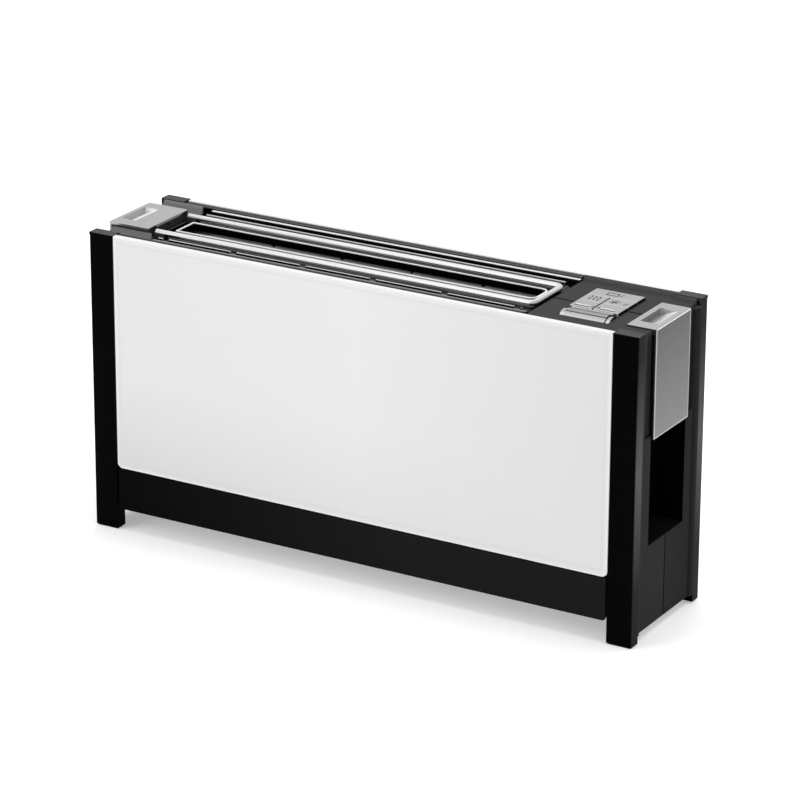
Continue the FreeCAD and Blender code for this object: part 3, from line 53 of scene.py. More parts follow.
class Wire:
    # one socket of a node tree, which Python sums turn into Math nodes
    def __init__(self, graph, socket):
        self.graph = graph
        self.socket = socket

    def maths(self, operation, first, second):
        return self.graph.node("ShaderNodeMath", {"operation": operation}, {0: first, 1: second})

    def __add__(self, other):
        return self.maths("ADD", self, other)

    def __sub__(self, other):
        return self.maths("SUBTRACT", self, other)

    def __rsub__(self, other):
        return self.maths("SUBTRACT", other, self)

    def __mul__(self, other):
        return self.maths("MULTIPLY", self, other)

    def __gt__(self, other):
        return self.maths("GREATER_THAN", self, other)

    def __lt__(self, other):
        return self.maths("LESS_THAN", self, other)

    def __abs__(self):
        return self.maths("ABSOLUTE", self, 0.0)

    def least(self, other):
        return self.maths("MINIMUM", self, other)

    __radd__ = __add__
    __rmul__ = __mul__


class Graph:
    # a node tree of a finish or of the surroundings, built through one method
    def __init__(self, tree):
        self.tree = tree

    def node(self, kind, settings=None, inputs=None, output=0):
        made = self.tree.nodes.new(kind)
        for name, value in (settings or {}).items():
            setattr(made, name, value)
        for name, value in (inputs or {}).items():
            self.feed(made.inputs[name], value)
        return Wire(self, made.outputs[output])

    def feed(self, socket, value):
        if isinstance(value, Wire):
            self.tree.links.new(value.socket, socket)
        else:
            socket.default_value = value

    def coordinate(self, source, letter):
        whole = self.node("ShaderNodeTexCoord", output=source)
        return self.node("ShaderNodeSeparateXYZ", None, {0: whole}, output=letter)

    def ray(self, kind):
        return self.node("ShaderNodeLightPath", output=kind)

    def between(self, value, low, high, first=0.0, second=1.0):
        ends = {0: value, 1: low, 2: high, 3: first, 4: second}
        return self.node("ShaderNodeMapRange", None, ends)

    def mix(self, factor, first, second):
        return self.node("ShaderNodeMix", {"data_type": "RGBA"}, {0: factor, 6: first, 7: second}, output=2)


class Recipe(Graph):
    # one finish: a Principled shader and what feeds it
    def __init__(self, name, **sockets):
        self.material = bpy.data.materials.new(name)
        self.material.use_nodes = True
        super().__init__(self.material.node_tree)
        self.shader = self.tree.nodes["Principled BSDF"]
        self.paint(**sockets)

    def paint(self, **sockets):
        for name, value in sockets.items():
            self.feed(self.shader.inputs[name.replace("_", " ")], value)
        return self.material

    def axis(self, letter):
        return self.coordinate("Object", letter)

    def axes(self):
        return [self.axis(letter) for letter in "XYZ"]

    def looking(self, letter, low=0.3, high=0.8):
        return self.between(self.coordinate("Normal", letter), low, high)

    def noise(self, scale, detail=3.0, stretch=(1, 1, 1)):
        place = self.node("ShaderNodeTexCoord", output="Object")
        stretched = self.node("ShaderNodeMapping", None, {"Vector": place, "Scale": stretch})
        return self.node("ShaderNodeTexNoise", None, {"Vector": stretched, "Scale": scale, "Detail": detail})

    def worn(self, cloud, rough, below=0.05, above=0.05):
        return self.between(cloud, 0.3, 0.7, rough - below, rough + above)

    def bump(self, height, strength, depth):
        inputs = {"Height": height, "Strength": strength, "Distance": depth}
        self.feed(self.shader.inputs["Normal"], self.node("ShaderNodeBump", None, inputs))


def grey(level, warmth=0.0):
    return (level * (1 + warmth), level, level * (1 - warmth), 1)


# Satin black plastic, deep black on its fronts, with painted light: ends and tops painted paler as lit faces,
# a painted sheen on the post ends at mid height, on the curb faces and on the tops near the crown, a painted
# sheen rising to the right where asked for, painted shade on the tops sunk below the curb, and a painted
# shadow down the seam
def satinBlack(name, front, end, top, rough, shine, sheenRight=None):
    look = {"seam": 0.75 * mm, "seamFoot": 211.2 * mm, "seamShadow": grey(0.0008), "wallIn": 205.5 * mm,
            "curb": 208.8 * mm, "curbSheen": grey(0.035), "inner": grey(0.006), "postIn": 40.3 * mm,
            "shelf": 212.6 * mm, "crown": 215.5 * mm, "crownSheen": grey(0.085), "sheenHeight": 120 * mm,
            "sheenReach": 80 * mm, "paintedSheen": grey(0.10), "sheenFrom": -190 * mm, "sheenTo": 50 * mm,
            "turned": (0.35, 0.9), "grain": 3200, "grainDepth": 0.03 * mm, "cloud": 14}
    recipe = Recipe(name, Specular_IOR_Level=shine)
    x, y, z = recipe.axes()
    cloud = recipe.noise(look["cloud"])
    recipe.bump(recipe.noise(look["grain"], 2.0), 0.3, look["grainDepth"])
    colour = recipe.mix(cloud, grey(front * 0.8), grey(front * 1.2, 0.03))
    # painted sheen: the piece is painted paler toward its right
    if sheenRight:
        rightward = recipe.between(x, look["sheenFrom"], look["sheenTo"])
        colour = recipe.mix(rightward, colour, grey(sheenRight, 0.01))
    # painted light: faces turned sideways at the ends and faces looking up take paler lit colours
    sideways = recipe.between(abs(recipe.coordinate("Normal", "X")), *look["turned"])
    ends = sideways * (abs(x) > look["wallIn"])
    tops = recipe.looking("Z", *look["turned"])
    endColour = recipe.mix(cloud, grey(end * 0.85), grey(end * 1.15, 0.01))
    # painted sheen: a soft pale band on the post ends about mid height
    paintedSheen = recipe.between(abs(z - look["sheenHeight"]), look["sheenReach"], 0.0) * (abs(y) > look["postIn"])
    colour = recipe.mix(ends, colour, recipe.mix(paintedSheen, endColour, look["paintedSheen"]))
    # painted shade on the tops sunk below the curb, and painted light paling the tops toward the crown
    topColour = recipe.mix(z > look["curb"], look["inner"], grey(top, 0.005))
    topColour = recipe.mix(recipe.between(z, look["shelf"], look["crown"]), topColour, look["crownSheen"])
    # painted sheen on the curb faces round the top opening
    curb = (z > look["curb"]) * (abs(y) < look["postIn"])
    colour = recipe.mix(tops, recipe.mix(curb, colour, look["curbSheen"]), topColour)
    # painted shadow: the seam between the halves is painted black
    seam = (abs(y) < look["seam"]) * ((z > look["seamFoot"]) + ends)
    return recipe.paint(Base_Color=recipe.mix(seam, colour, look["seamShadow"]),
                        Roughness=recipe.worn(cloud, rough, above=0.06))


# White glass, painted behind, with polished edges; painted light makes the white brightest at the centre, a
# shade deeper to the right and toward the foot, with a painted highlight along the polished edges
def whiteGlass(name):
    look = {"left": grey(0.77, 0.002), "centre": grey(0.82, 0.002), "right": grey(0.75, 0.004),
            "footLeft": grey(0.67, 0.004), "foot": grey(0.77, 0.004), "footHeight": 70 * mm,
            "rim": grey(0.86), "rimWidth": 3.2 * mm, "line": grey(0.70), "lineWidth": 1.2 * mm,
            "border": grey(0.05), "borderWidth": 0.8 * mm}
    low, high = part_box("front_glass_panel")
    half = (high.x - low.x) / 2
    recipe = Recipe(name, Roughness=0.10, Coat_Weight=0.3, Coat_Roughness=0.03, Specular_IOR_Level=0.35)
    x, _, z = recipe.axes()
    # painted light: brightest at the centre, a shade deeper to the left and more to the right, darker toward
    # the foot
    leftward = recipe.between(x, -half, 0.0)
    paint = recipe.mix(leftward, look["left"], look["centre"])
    paint = recipe.mix(recipe.between(x, 0.0, half), paint, look["right"])
    foot = recipe.mix(leftward, look["footLeft"], look["foot"])
    paint = recipe.mix(recipe.between(z, low.z + look["footHeight"], low.z), paint, foot)
    edge = (half - abs(x)).least((z - low.z).least(high.z - z))
    line = recipe.between(abs(edge - (look["rimWidth"] + look["lineWidth"])), look["lineWidth"], 0.0)
    paint = recipe.mix(line * 0.5, paint, look["line"])
    # painted highlight along the polished edges
    paint = recipe.mix(recipe.between(edge, look["rimWidth"], 0.0), paint, look["rim"])
    return recipe.paint(Base_Color=recipe.mix((half + x) < look["borderWidth"], paint, look["border"]))


# Plain or brushed metal, its lines drawn out along one axis
def brushed(name, level, rough, along=(1, 1, 1), depth=0.004 * mm, warmth=0.01, spread=0.12):
    recipe = Recipe(name, Metallic=1.0)
    lines = recipe.noise(90, 4.0, along)
    recipe.bump(lines, 0.5, depth)
    return recipe.paint(Base_Color=recipe.mix(lines, grey(level * (1 - spread), warmth), grey(level, warmth)),
                        Roughness=recipe.worn(recipe.noise(22, 2.0), rough))


# Satin cap of a lever, with painted light: painted paler on its top than down its end plate, the plate
# painted paler toward its foot, painted highlights on its edges, and painted shade deepening into its recess
# with a dark painted wall
def satinCap(name, node, top, plateHead, plateFoot, deep, matt):
    look = {"plateFootZ": 138 * mm, "plateFace": 207.0 * mm, "rough": 0.30, "recessTop": 0.25 * mm,
            "recessHalf": 14.8 * mm, "recessDeep": 5.4 * mm, "recessLit": grey(0.99),
            "wall": grey(deep * 0.35), "edge": 0.9 * mm, "edgeHighlight": grey(0.98), "rim": 1.1 * mm,
            "rimHighlight": grey(0.40), "lines": grey(0.05), "lineShare": 0.10, "lineDepth": 0.005 * mm}
    low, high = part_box(node)
    recipe = Recipe(name)
    x, y, z = recipe.axes()
    lines = recipe.noise(90, 4.0, (30, 30, 1))
    recipe.bump(lines, 0.4, look["lineDepth"])
    # painted light: the end plate paler toward its foot, the top paler than the plate
    plate = recipe.between(z, look["plateFootZ"], high.z, plateFoot, plateHead)
    plateColour = recipe.node("ShaderNodeCombineColor", None, {0: plate, 1: plate, 2: plate})
    tops = recipe.looking("Z")
    colour = recipe.mix(tops, plateColour, grey(top, 0.005))
    # painted highlights along the upper edges and round the rim
    colour = recipe.mix((z > high.z - look["edge"]) * (1 - tops), colour, look["edgeHighlight"])
    rim = (abs(y) > high.y - look["rim"]) + (z < low.z + look["rim"])
    colour = recipe.mix((rim > 0.5) * (1 - tops), colour, look["rimHighlight"])
    # painted shade in the recess: darker toward its floor, the wall facing right darker still
    inward = (abs(x) < look["plateFace"]) * (abs(y) < look["recessHalf"])
    recess = inward * (z < high.z - look["recessTop"]) * (z > high.z - look["recessDeep"])
    floor = recipe.mix(recipe.between(z, high.z - look["recessDeep"], high.z), grey(deep), look["recessLit"])
    floor = recipe.mix(recipe.coordinate("Normal", "X") > 0.7, floor, look["wall"])
    colour = recipe.mix(recess, colour, floor)
    return recipe.paint(Base_Color=recipe.mix(lines * look["lineShare"], colour, look["lines"]),
                        Metallic=1 - recess * matt, Roughness=recipe.worn(lines, look["rough"]))


# Pressed steel of the deck, with painted light: painted shade down in its trough, painted highlights on its
# lips, a painted shadow beside the slot lips, and painted shade black inside the slot, along its outer edges
# and at its right end
def pressedSteel(name):
    look = {"trough": 210.3 * mm, "troughShade": grey(0.13, 0.01), "lip": 212.5 * mm,
            "lipHighlight": grey(0.98, 0.01), "outerLipHighlight": grey(0.80, 0.01), "skirt": 11.6 * mm,
            "shadeIn": 13.0 * mm, "shadeOut": 15.5 * mm, "shade": grey(0.02), "slotFace": 10.15 * mm,
            "slotLip": 212.2 * mm, "slotShade": grey(0.004),
            "outer": 30.75 * mm, "outerShade": grey(0.01), "rightEnd": 117.5 * mm, "rightEndShade": grey(0.02),
            "matt": 0.4, "stain": grey(0.03), "stainShare": 0.15, "rough": 0.28, "lineDepth": 0.006 * mm}
    recipe = Recipe(name)
    x, y, z = recipe.axes()
    across = abs(y)
    recipe.bump(recipe.noise(90, 3.0, (0.3, 8, 8)), 0.3, look["lineDepth"])
    cloud = recipe.noise(26, 2.0)
    # painted light: painted shade in the trough, painted highlights on the lips
    lip = recipe.mix(across < look["skirt"], look["outerLipHighlight"], look["lipHighlight"])
    colour = recipe.mix(recipe.between(z, look["trough"], look["lip"]), look["troughShade"], lip)
    # painted shadow beside the slot lips
    shade = recipe.between(across, look["shadeOut"], look["shadeIn"]) * (across > look["skirt"])
    colour = recipe.mix(shade, colour, look["shade"])
    # painted shade: black inside the slot, along the outer edges and at the right end
    colour = recipe.mix((across < look["slotFace"]) * (z < look["slotLip"]), colour, look["slotShade"])
    colour = recipe.mix(across > look["outer"], colour, look["outerShade"])
    colour = recipe.mix(x > look["rightEnd"], colour, look["rightEndShade"])
    matt = (z > look["slotLip"]) * ((across < look["skirt"]) + 1) * look["matt"]
    return recipe.paint(Base_Color=recipe.mix(cloud * look["stainShare"], colour, look["stain"]),
                        Metallic=1 - matt, Roughness=recipe.worn(cloud, look["rough"]))


# Rails along the top, with a painted highlight pale on their upper edges and painted shade near black below
def paintedRail(name, top, low, high, below=0.004, metal=1.0):
    recipe = Recipe(name, Metallic=metal, Roughness=0.35)
    lines = recipe.noise(90, 4.0, (0.3, 8, 8))
    recipe.bump(lines, 0.3, 0.006 * mm)
    # painted highlight on the upper edge, painted shade below
    colour = recipe.mix(recipe.between(recipe.axis("Z"), low * mm, high * mm), grey(below), grey(top))
    return recipe.paint(Base_Color=recipe.mix(lines * 0.15, colour, grey(below)))


# Silver lacquer over a faint grain, painted by what it is given
def lacquered(recipe, colourOver):
    cloud = recipe.noise(60)
    recipe.bump(cloud, 0.3, 0.004 * mm)
    return recipe.paint(Base_Color=colourOver(cloud), Metallic=1.0, Roughness=recipe.worn(cloud, 0.35))


# Lacquer of the keys, with painted shade on the flanks that face right and a painted shadow black down the
# slit between them
def keyLacquer(name, level):
    look = {"slit": 156.8 * mm, "half": 0.55 * mm, "back": 13.6 * mm, "front": -11.9 * mm,
            "black": grey(0.004), "flank": grey(0.05)}
    recipe = Recipe(name)
    x, y, _ = recipe.axes()
    # painted shadow down the slit between the keys
    slit = (abs(x - look["slit"]) < look["half"]) * (y < look["back"]) * (y > look["front"])

    def colourOver(cloud):
        colour = recipe.mix(cloud, grey(level * 0.95, 0.01), grey(level, 0.01))
        # painted shade on the flanks that face right
        return recipe.mix(recipe.looking("X"), recipe.mix(slit, colour, look["black"]), look["flank"])

    return lacquered(recipe, colourOver)


# Lacquer of the roller, with painted shade dark down in its grooves
def rollerLacquer(name, level, depth):
    low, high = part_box("browning_roller")
    middle = (low + high) / 2
    radius = (high.z - low.z) / 2 - depth * mm
    recipe = Recipe(name)
    y = recipe.axis("Y") - middle.y
    z = recipe.axis("Z") - middle.z
    # painted shade in the grooves
    sunk = y * y + z * z < radius * radius
    return lacquered(recipe, lambda cloud: recipe.mix(sunk, grey(level, 0.01), grey(0.02)))


# Bent wire, mirror bright, with a painted highlight: white where it looks up, most at its left end
def polishedWire(name, highlightLeft, highlightRight):
    look = {"left": -100 * mm, "right": 110 * mm, "grain": 200, "grainDepth": 0.001 * mm}
    recipe = Recipe(name, Roughness=0.08)
    white = recipe.between(recipe.axis("X"), look["left"], look["right"], highlightLeft, highlightRight)
    grain = recipe.noise(look["grain"], 2.0)
    recipe.bump(grain, 0.3, look["grainDepth"])
    return recipe.paint(Base_Color=recipe.mix(grain * 0.03, grey(0.97), grey(0.90)),
                        # painted highlight: upward faces lose their metal and show white
                        Metallic=1 - recipe.looking("Z", 0.0, 0.45) * white)


# Sheet of the slot guides, with a painted reflection bright where it curls in
def guideSteel(name, foot, head):
    recipe = Recipe(name, Metallic=1.0)
    cloud = recipe.noise(40)
    recipe.bump(cloud, 0.3, 0.004 * mm)
    # painted reflection: pale at the curled foot, darker above
    rise = recipe.between(recipe.axis("Z"), foot * mm, head * mm)
    return recipe.paint(Base_Color=recipe.mix(rise, grey(0.98, 0.01), grey(0.25, 0.01)),
                        Roughness=recipe.worn(cloud, 0.33))


# Grey moulding that is darker on its top than on its sides
def twoTone(name, top, side):
    recipe = Recipe(name, Roughness=0.35, Specular_IOR_Level=0.25)
    recipe.bump(recipe.noise(2200, 2.0), 0.4, 0.03 * mm)
    return recipe.paint(Base_Color=recipe.mix(recipe.looking("Z"), grey(side), grey(top)))


# Plain mouldings, boards and rubber
def moulded(name, colour, rough, grain=2200, depth=0.03 * mm, shine=0.35):
    recipe = Recipe(name, Specular_IOR_Level=shine)
    fine = recipe.noise(grain, 2.0)
    recipe.bump(fine, 0.4, depth)
    darker = tuple(channel * 0.8 for channel in colour[:3]) + (1,)
    return recipe.paint(Base_Color=recipe.mix(recipe.noise(30), darker, colour),
                        Roughness=recipe.worn(fine, rough))


finishes = {
    "black_shell": satinBlack("satinBlack", front=0.0012, end=0.018, top=0.050, rough=0.40, shine=0.012),
    "black_plastic": satinBlack("blackMoulding", front=0.004, end=0.02, top=0.03, rough=0.36, shine=0.10),
    "white_glass": whiteGlass("whiteGlass"),
    "dark_rail": paintedRail("darkRail", top=0.12, low=213.3, high=214.0),
    "bright_cap": satinCap("satinCap", "toast_lever_cap", top=0.86, plateHead=0.075, plateFoot=0.175,
                           deep=0.70, matt=0.25),
    "grey_plastic": twoTone("greyMoulding", top=0.12, side=0.30),
    "deck_steel": pressedSteel("pressedSteel"),
    "chrome_wire": polishedWire("chromeWire", highlightLeft=0.9, highlightRight=0.35),
    "silver_keys": keyLacquer("silverKeys", 0.84),
    "zinc_sheet": brushed("zincSheet", 0.30, 0.38, warmth=-0.01, spread=0.2),
    # mica board: its own brown painted deeper, as painted shade for the inside of the chamber
    "mica": moulded("micaBoard", (0.10, 0.07, 0.04, 1), 0.7, grain=400, depth=0.1 * mm),
    "ribbon_alloy": brushed("heatingRibbon", 0.05, 0.45, along=(1, 40, 40), depth=0.01 * mm),
    "brass_bush": brushed("brassBush", 0.5, 0.3, warmth=0.3),
    "copper_coil": moulded("copperWinding", (0.42, 0.13, 0.04, 1), 0.35),
    "gear_plastic": moulded("acetal", (0.72, 0.70, 0.63, 1), 0.45),
    "board_green": moulded("circuitBoard", (0.02, 0.13, 0.05, 1), 0.3),
    "rubber_pad": moulded("rubberPad", (0.02, 0.02, 0.02, 1), 0.8),
}
# the base band has a painted sheen paler toward its right
bandBlack = satinBlack("bandBlack", front=0.0010, end=0.018, top=0.030, rough=0.38, shine=0.02,
                       sheenRight=0.011)
# painted shade: chamber walls and reflectors painted near black for the shade inside the chamber
shadedZinc = brushed("shadedZinc", 0.02, 0.5)
ownFinish = {
    "front_base_rail": bandBlack,
    "rear_base_rail": bandBlack,
    "rack_lever_cap": satinCap("satinCapLeft", "rack_lever_cap", top=0.84, plateHead=0.08, plateFoot=0.18,
                               deep=0.98, matt=0.9),
    "front_vent_rail": paintedRail("ventRail", top=0.50, low=213.0, high=213.4),
    "rear_vent_rail": paintedRail("rearVentRail", top=0.98, low=213.0, high=213.4, metal=0.3),
    "left_chamber_wall": shadedZinc,
    "right_chamber_wall": shadedZinc,
    "front_reflector": shadedZinc,
    "rear_reflector": shadedZinc,
}
for node, obj in nodes.items():
    obj.data.materials.clear()
    obj.data.materials.append(ownFinish.get(node, finishes[slotOf[node]]))
print("finishes made:", len(finishes) + len(ownFinish))


def deselectAll():
    if bpy.context.object and bpy.context.object.mode != "OBJECT":
        bpy.ops.object.mode_set(mode="OBJECT")
    bpy.ops.object.select_all(action="DESELECT")


def takeUp(obj):
    deselectAll()
    obj.select_set(True)
    bpy.context.view_layer.objects.active = obj


# Leaves the piece in edit mode with only the wanted faces or edges selected
def selectOnly(piece, kind, wanted):
    bpy.ops.object.mode_set(mode="EDIT")
    bpy.ops.mesh.select_mode(type=kind)
    bpy.ops.mesh.select_all(action="DESELECT")
    bpy.ops.object.mode_set(mode="OBJECT")
    for part in piece.data.polygons if kind == "FACE" else piece.data.edges:
        part.select = wanted(part)
    bpy.ops.object.mode_set(mode="EDIT")


def mergedCopy(node):
    piece = bpy.data.objects.new(node + "_dressed", nodes[node].data.copy())
    bpy.context.collection.objects.link(piece)
    takeUp(piece)
    bpy.ops.object.mode_set(mode="EDIT")
    bpy.ops.mesh.select_all(action="SELECT")
    bpy.ops.mesh.remove_doubles(threshold=0.005 * mm)
    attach(piece, bodyOf[node])
    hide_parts(node)
    return piece


# A merged copy of a solid whose edges are broken as the real moulding's are
def softened(node, width):
    cut = {"flat": 1, "segments": 3, "sharper": 32, "smooth": 14}
    piece = mergedCopy(node)
    bpy.ops.mesh.dissolve_limited(angle_limit=math.radians(cut["flat"]))
    bpy.ops.object.mode_set(mode="OBJECT")
    breaker = piece.modifiers.new("broken edges", "BEVEL")
    breaker.width = width * mm
    breaker.segments = cut["segments"]
    breaker.limit_method = "ANGLE"
    breaker.angle_limit = math.radians(cut["sharper"])
    breaker.use_clamp_overlap = True
    bpy.ops.object.modifier_apply(modifier=breaker.name)
    bpy.ops.object.shade_smooth_by_angle(angle=math.radians(cut["smooth"]))


# A merged copy of bent wire or a turned piece, smooth round its section
def rounded(node, angle):
    mergedCopy(node)
    bpy.ops.object.mode_set(mode="OBJECT")
    bpy.ops.object.shade_smooth_by_angle(angle=math.radians(angle))


brokenEdges = {
    "right_front_shell": 0.35, "right_rear_shell": 0.35, "left_front_shell": 0.35, "left_rear_shell": 0.35,
    "front_base_rail": 0.30, "rear_base_rail": 0.30, "front_glass_panel": 0.55, "rear_glass_panel": 0.55,
    "front_top_rail": 0.15, "rear_top_rail": 0.15, "left_front_pedestal": 0.25, "left_rear_pedestal": 0.25,
    "toast_lever_cap": 0.30, "rack_lever_cap": 0.30, "strip_key": 0.25, "front_left_key": 0.25,
    "front_right_key": 0.25, "rear_left_key": 0.25, "rear_right_key": 0.25, "key_frame": 0.15,
    "slot_deck": 0.30,
}
for node, width in brokenEdges.items():
    softened(node, width)
roundAngles = {"bun_rack": 50, "lift_guide_rods": 50, "rack_guide_rods": 50,
               "pinion_axle": 50, "lift_spring": 60, "cord_gland": 40, "foot_pads": 40}
for node, angle in roundAngles.items():
    rounded(node, angle)
print("edges broken on", len(brokenEdges), "pieces, smooth rounds on", len(roundAngles))


# Small pieces added to the solids: each starts from a primitive and rides with the piece that carries it
def finishPiece(piece, name, carrier, material):
    piece.name = name
    piece.data.name = name
    takeUp(piece)
    bpy.ops.object.transform_apply(location=True, rotation=True, scale=True)
    piece.data.materials.clear()
    piece.data.materials.append(material)
    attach(piece, bodyOf[carrier])


def blockAt(low, high, bevel):
    deselectAll()
    centre = [(first + last) / 2 * mm for first, last in zip(low, high)]
    size = [(last - first) * mm for first, last in zip(low, high)]
    bpy.ops.mesh.primitive_cube_add(size=1, location=centre, scale=size)
    piece = bpy.context.object
    bpy.ops.object.transform_apply(location=True, rotation=True, scale=True)
    bpy.ops.object.mode_set(mode="EDIT")
    bpy.ops.mesh.select_all(action="SELECT")
    bpy.ops.mesh.bevel(offset=bevel * mm, segments=2, affect="EDGES")
    bpy.ops.object.mode_set(mode="OBJECT")
    return piece


# A rod along the X axis
def rodAt(centre, radius, length, sides):
    deselectAll()
    bpy.ops.mesh.primitive_cylinder_add(vertices=sides, radius=radius, depth=length, location=centre,
                                        rotation=(0, math.pi / 2, 0))
    piece = bpy.context.object
    bpy.ops.object.transform_apply(location=True, rotation=True, scale=True)
    return piece


def carve(piece, cutter):
    takeUp(piece)
    carving = piece.modifiers.new("carving", "BOOLEAN")
    carving.operation = "DIFFERENCE"
    carving.object = cutter
    bpy.ops.object.modifier_apply(modifier=carving.name)
    bpy.data.objects.remove(cutter)


def joined(pieces):
    deselectAll()
    for piece in pieces:
        piece.select_set(True)
    bpy.context.view_layer.objects.active = pieces[0]
    bpy.ops.object.join()
    return pieces[0]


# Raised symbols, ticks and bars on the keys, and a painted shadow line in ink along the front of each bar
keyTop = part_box("strip_key")[1].z / mm
marks = {"line": 0.55, "sunk": 0.08, "height": 0.16, "barHeight": 0.35, "barFront": -9.0, "barBack": -7.2,
         "barBevel": 0.15, "barShadow": -9.5, "tickFoot": -8.9, "tickHead": -6.4, "tickLean": 0.6}
barSpans = {"front_left_key": (142.8, 153.6), "front_right_key": (161.0, 171.6)}


# A line through points on the keys: one edge of a small square is drawn on from point to point
def line(*points):
    deselectAll()
    start, onward = points[0], points[1:]
    floor = (keyTop - marks["sunk"]) * mm
    bpy.ops.mesh.primitive_plane_add(size=marks["line"] * mm, location=(start[0] * mm, start[1] * mm, floor))
    piece = bpy.context.object
    bpy.ops.object.transform_apply(location=True, rotation=True, scale=True)
    step = Vector(onward[0]) - Vector(start)
    lead = 0 if abs(step[0]) > abs(step[1]) else 1
    sense = 1 if step[lead] > 0 else -1

    def leading(edge):
        ends = [piece.data.vertices[index].co[lead] * sense for index in edge.vertices]
        return min(ends) > start[lead] * mm * sense

    selectOnly(piece, "EDGE", leading)
    here = Vector(start)
    for point in onward:
        move = (Vector(point) - here) * mm
        bpy.ops.mesh.extrude_region_move(TRANSFORM_OT_translate={"value": (move[0], move[1], 0)})
        here = Vector(point)
    bpy.ops.mesh.select_all(action="SELECT")
    bpy.ops.mesh.extrude_region_move(TRANSFORM_OT_translate={"value": (0, 0, marks["height"] * mm)})
    bpy.ops.mesh.select_all(action="SELECT")
    bpy.ops.mesh.normals_make_consistent(inside=False)
    bpy.ops.object.mode_set(mode="OBJECT")
    return piece


def waves(xs, low, high, sway, steps, periods):
    made = []
    for x in xs:
        turn = 2 * math.pi * periods / steps
        points = [(x + sway * math.sin(turn * k), low + (high - low) * k / steps) for k in range(steps + 1)]
        made.append(line(*points))
    return made


def star(x, y, reach, firstTurn):
    made = []
    for turn in range(firstTurn, firstTurn + 180, 60):
        dx, dy = reach * math.cos(math.radians(turn)), reach * math.sin(math.radians(turn))
        made.append(line((x - dx, y - dy), (x + dx, y + dy)))
    return made


def frameOf(x0, x1, y0, y1):
    corners = [((x0, y0), (x1, y0)), ((x0, y1), (x1, y1)), ((x0, y0), (x0, y1)), ((x1, y0), (x1, y1))]
    return [line(*ends) for ends in corners]


def besideBar(key, tick):
    x0, x1 = barSpans[key]
    # a tick, and a painted shadow: a dark line along the front of the bar
    return [line((tick, marks["tickFoot"]), (tick + marks["tickLean"], marks["tickHead"])),
            line((x0, marks["barShadow"]), (x1, marks["barShadow"]))]


def markKeys():
    inkAndShadow = moulded("keyInkAndShadow", grey(0.012), 0.5, shine=0.1)
    barPaint = moulded("raisedBar", grey(0.72), 0.4)
    keyMarks = {
        "rear_left_key": waves((145.4, 148.4, 151.4), low=4.0, high=12.0, sway=0.5, steps=16, periods=2),
        "rear_right_key": star(163.3, 7.4, reach=3.4, firstTurn=20) + [line((171.2, 4.6), (172.4, 8.2))],
        "strip_key": frameOf(151.6, 159.4, 18.2, 22.6) + [line((161.2, 18.6), (162.6, 22.4))],
        "front_left_key": besideBar("front_left_key", 154.9),
        "front_right_key": besideBar("front_right_key", 158.9),
    }
    for key, strokes in keyMarks.items():
        finishPiece(joined(strokes), key + "_mark", key, inkAndShadow)
    for key, (x0, x1) in barSpans.items():
        bar = blockAt((x0, marks["barFront"], keyTop - marks["sunk"]),
                      (x1, marks["barBack"], keyTop + marks["barHeight"]), marks["barBevel"])
        finishPiece(bar, key + "_bar", key, barPaint)
    print("keys marked:", len(keyMarks))


markKeys()

# Thumb roller with grooves along it, on its own axle, and the bar between it and the keys
roller = {"sides": 72, "grooves": 12, "firstGroove": 1, "depth": 0.45, "shadeFrom": 0.2, "axle": 1.5,
          "axleSides": 32, "axleBevel": 0.2, "rim": 0.3, "rimWidth": 0.6, "cheek": 3.0, "play": 0.3}
bridge = {"back": -12.0, "front": -14.9, "top": 213.55, "foot": 211.0, "bevel": 0.12, "lap": 0.1,
          "clear": 0.35, "sides": 96}
rollerLow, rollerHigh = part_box("browning_roller")
rollerMiddle = (rollerLow + rollerHigh) / 2
rollerRadius = (rollerHigh.z - rollerLow.z) / 2
rollerLength = rollerHigh.x - rollerLow.x


def bridgeBar():
    inset = roller["cheek"] - bridge["lap"]
    bar = blockAt((rollerLow.x / mm + inset, bridge["front"], bridge["foot"]),
                  (rollerHigh.x / mm - inset, bridge["back"], bridge["top"]), bridge["bevel"])
    room = rollerRadius + bridge["clear"] * mm
    carve(bar, rodAt(rollerMiddle, room, rollerLength + 2 * roller["cheek"] * mm, bridge["sides"]))
    finishPiece(bar, "keypad_front_bar", "key_frame", finishes["silver_keys"])


def groovedRoller():
    drumLength = rollerLength - (2 * roller["cheek"] + roller["play"]) * mm
    drum = rodAt(rollerMiddle, rollerRadius, drumLength, roller["sides"])
    selectOnly(drum, "FACE", lambda face: abs(face.normal.x) > 0.5)
    bpy.ops.mesh.inset(thickness=roller["rimWidth"] * mm, depth=-roller["rim"] * mm)
    bpy.ops.object.mode_set(mode="OBJECT")
    perGroove = roller["sides"] // roller["grooves"]
    perSide = 360 / roller["sides"]

    def inGroove(face):
        dy, dz = face.center.y - rollerMiddle.y, face.center.z - rollerMiddle.z
        onDrum = abs(face.normal.x) < 0.1 and math.hypot(dy, dz) > rollerRadius * 0.98
        number = math.floor(math.degrees(math.atan2(dy, dz)) / perSide + 0.01)
        return onDrum and number % perGroove == roller["firstGroove"]

    selectOnly(drum, "FACE", inGroove)
    bpy.ops.mesh.extrude_faces_move(TRANSFORM_OT_shrink_fatten={"value": -roller["depth"] * mm})
    bpy.ops.object.mode_set(mode="OBJECT")
    axle = rodAt(rollerMiddle, roller["axle"] * mm, rollerLength, roller["axleSides"])
    takeUp(axle)
    bpy.ops.object.mode_set(mode="EDIT")
    bpy.ops.mesh.select_all(action="SELECT")
    bpy.ops.mesh.bevel(offset=roller["axleBevel"] * mm, segments=2, affect="EDGES", clamp_overlap=True)
    bpy.ops.object.mode_set(mode="OBJECT")
    piece = joined([drum, axle])
    finish = rollerLacquer("rollerSilver", 0.66, roller["shadeFrom"])
    finishPiece(piece, "grooved_roller", "browning_roller", finish)
    bpy.ops.object.shade_smooth_by_angle(angle=math.radians(20))
    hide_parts("browning_roller")


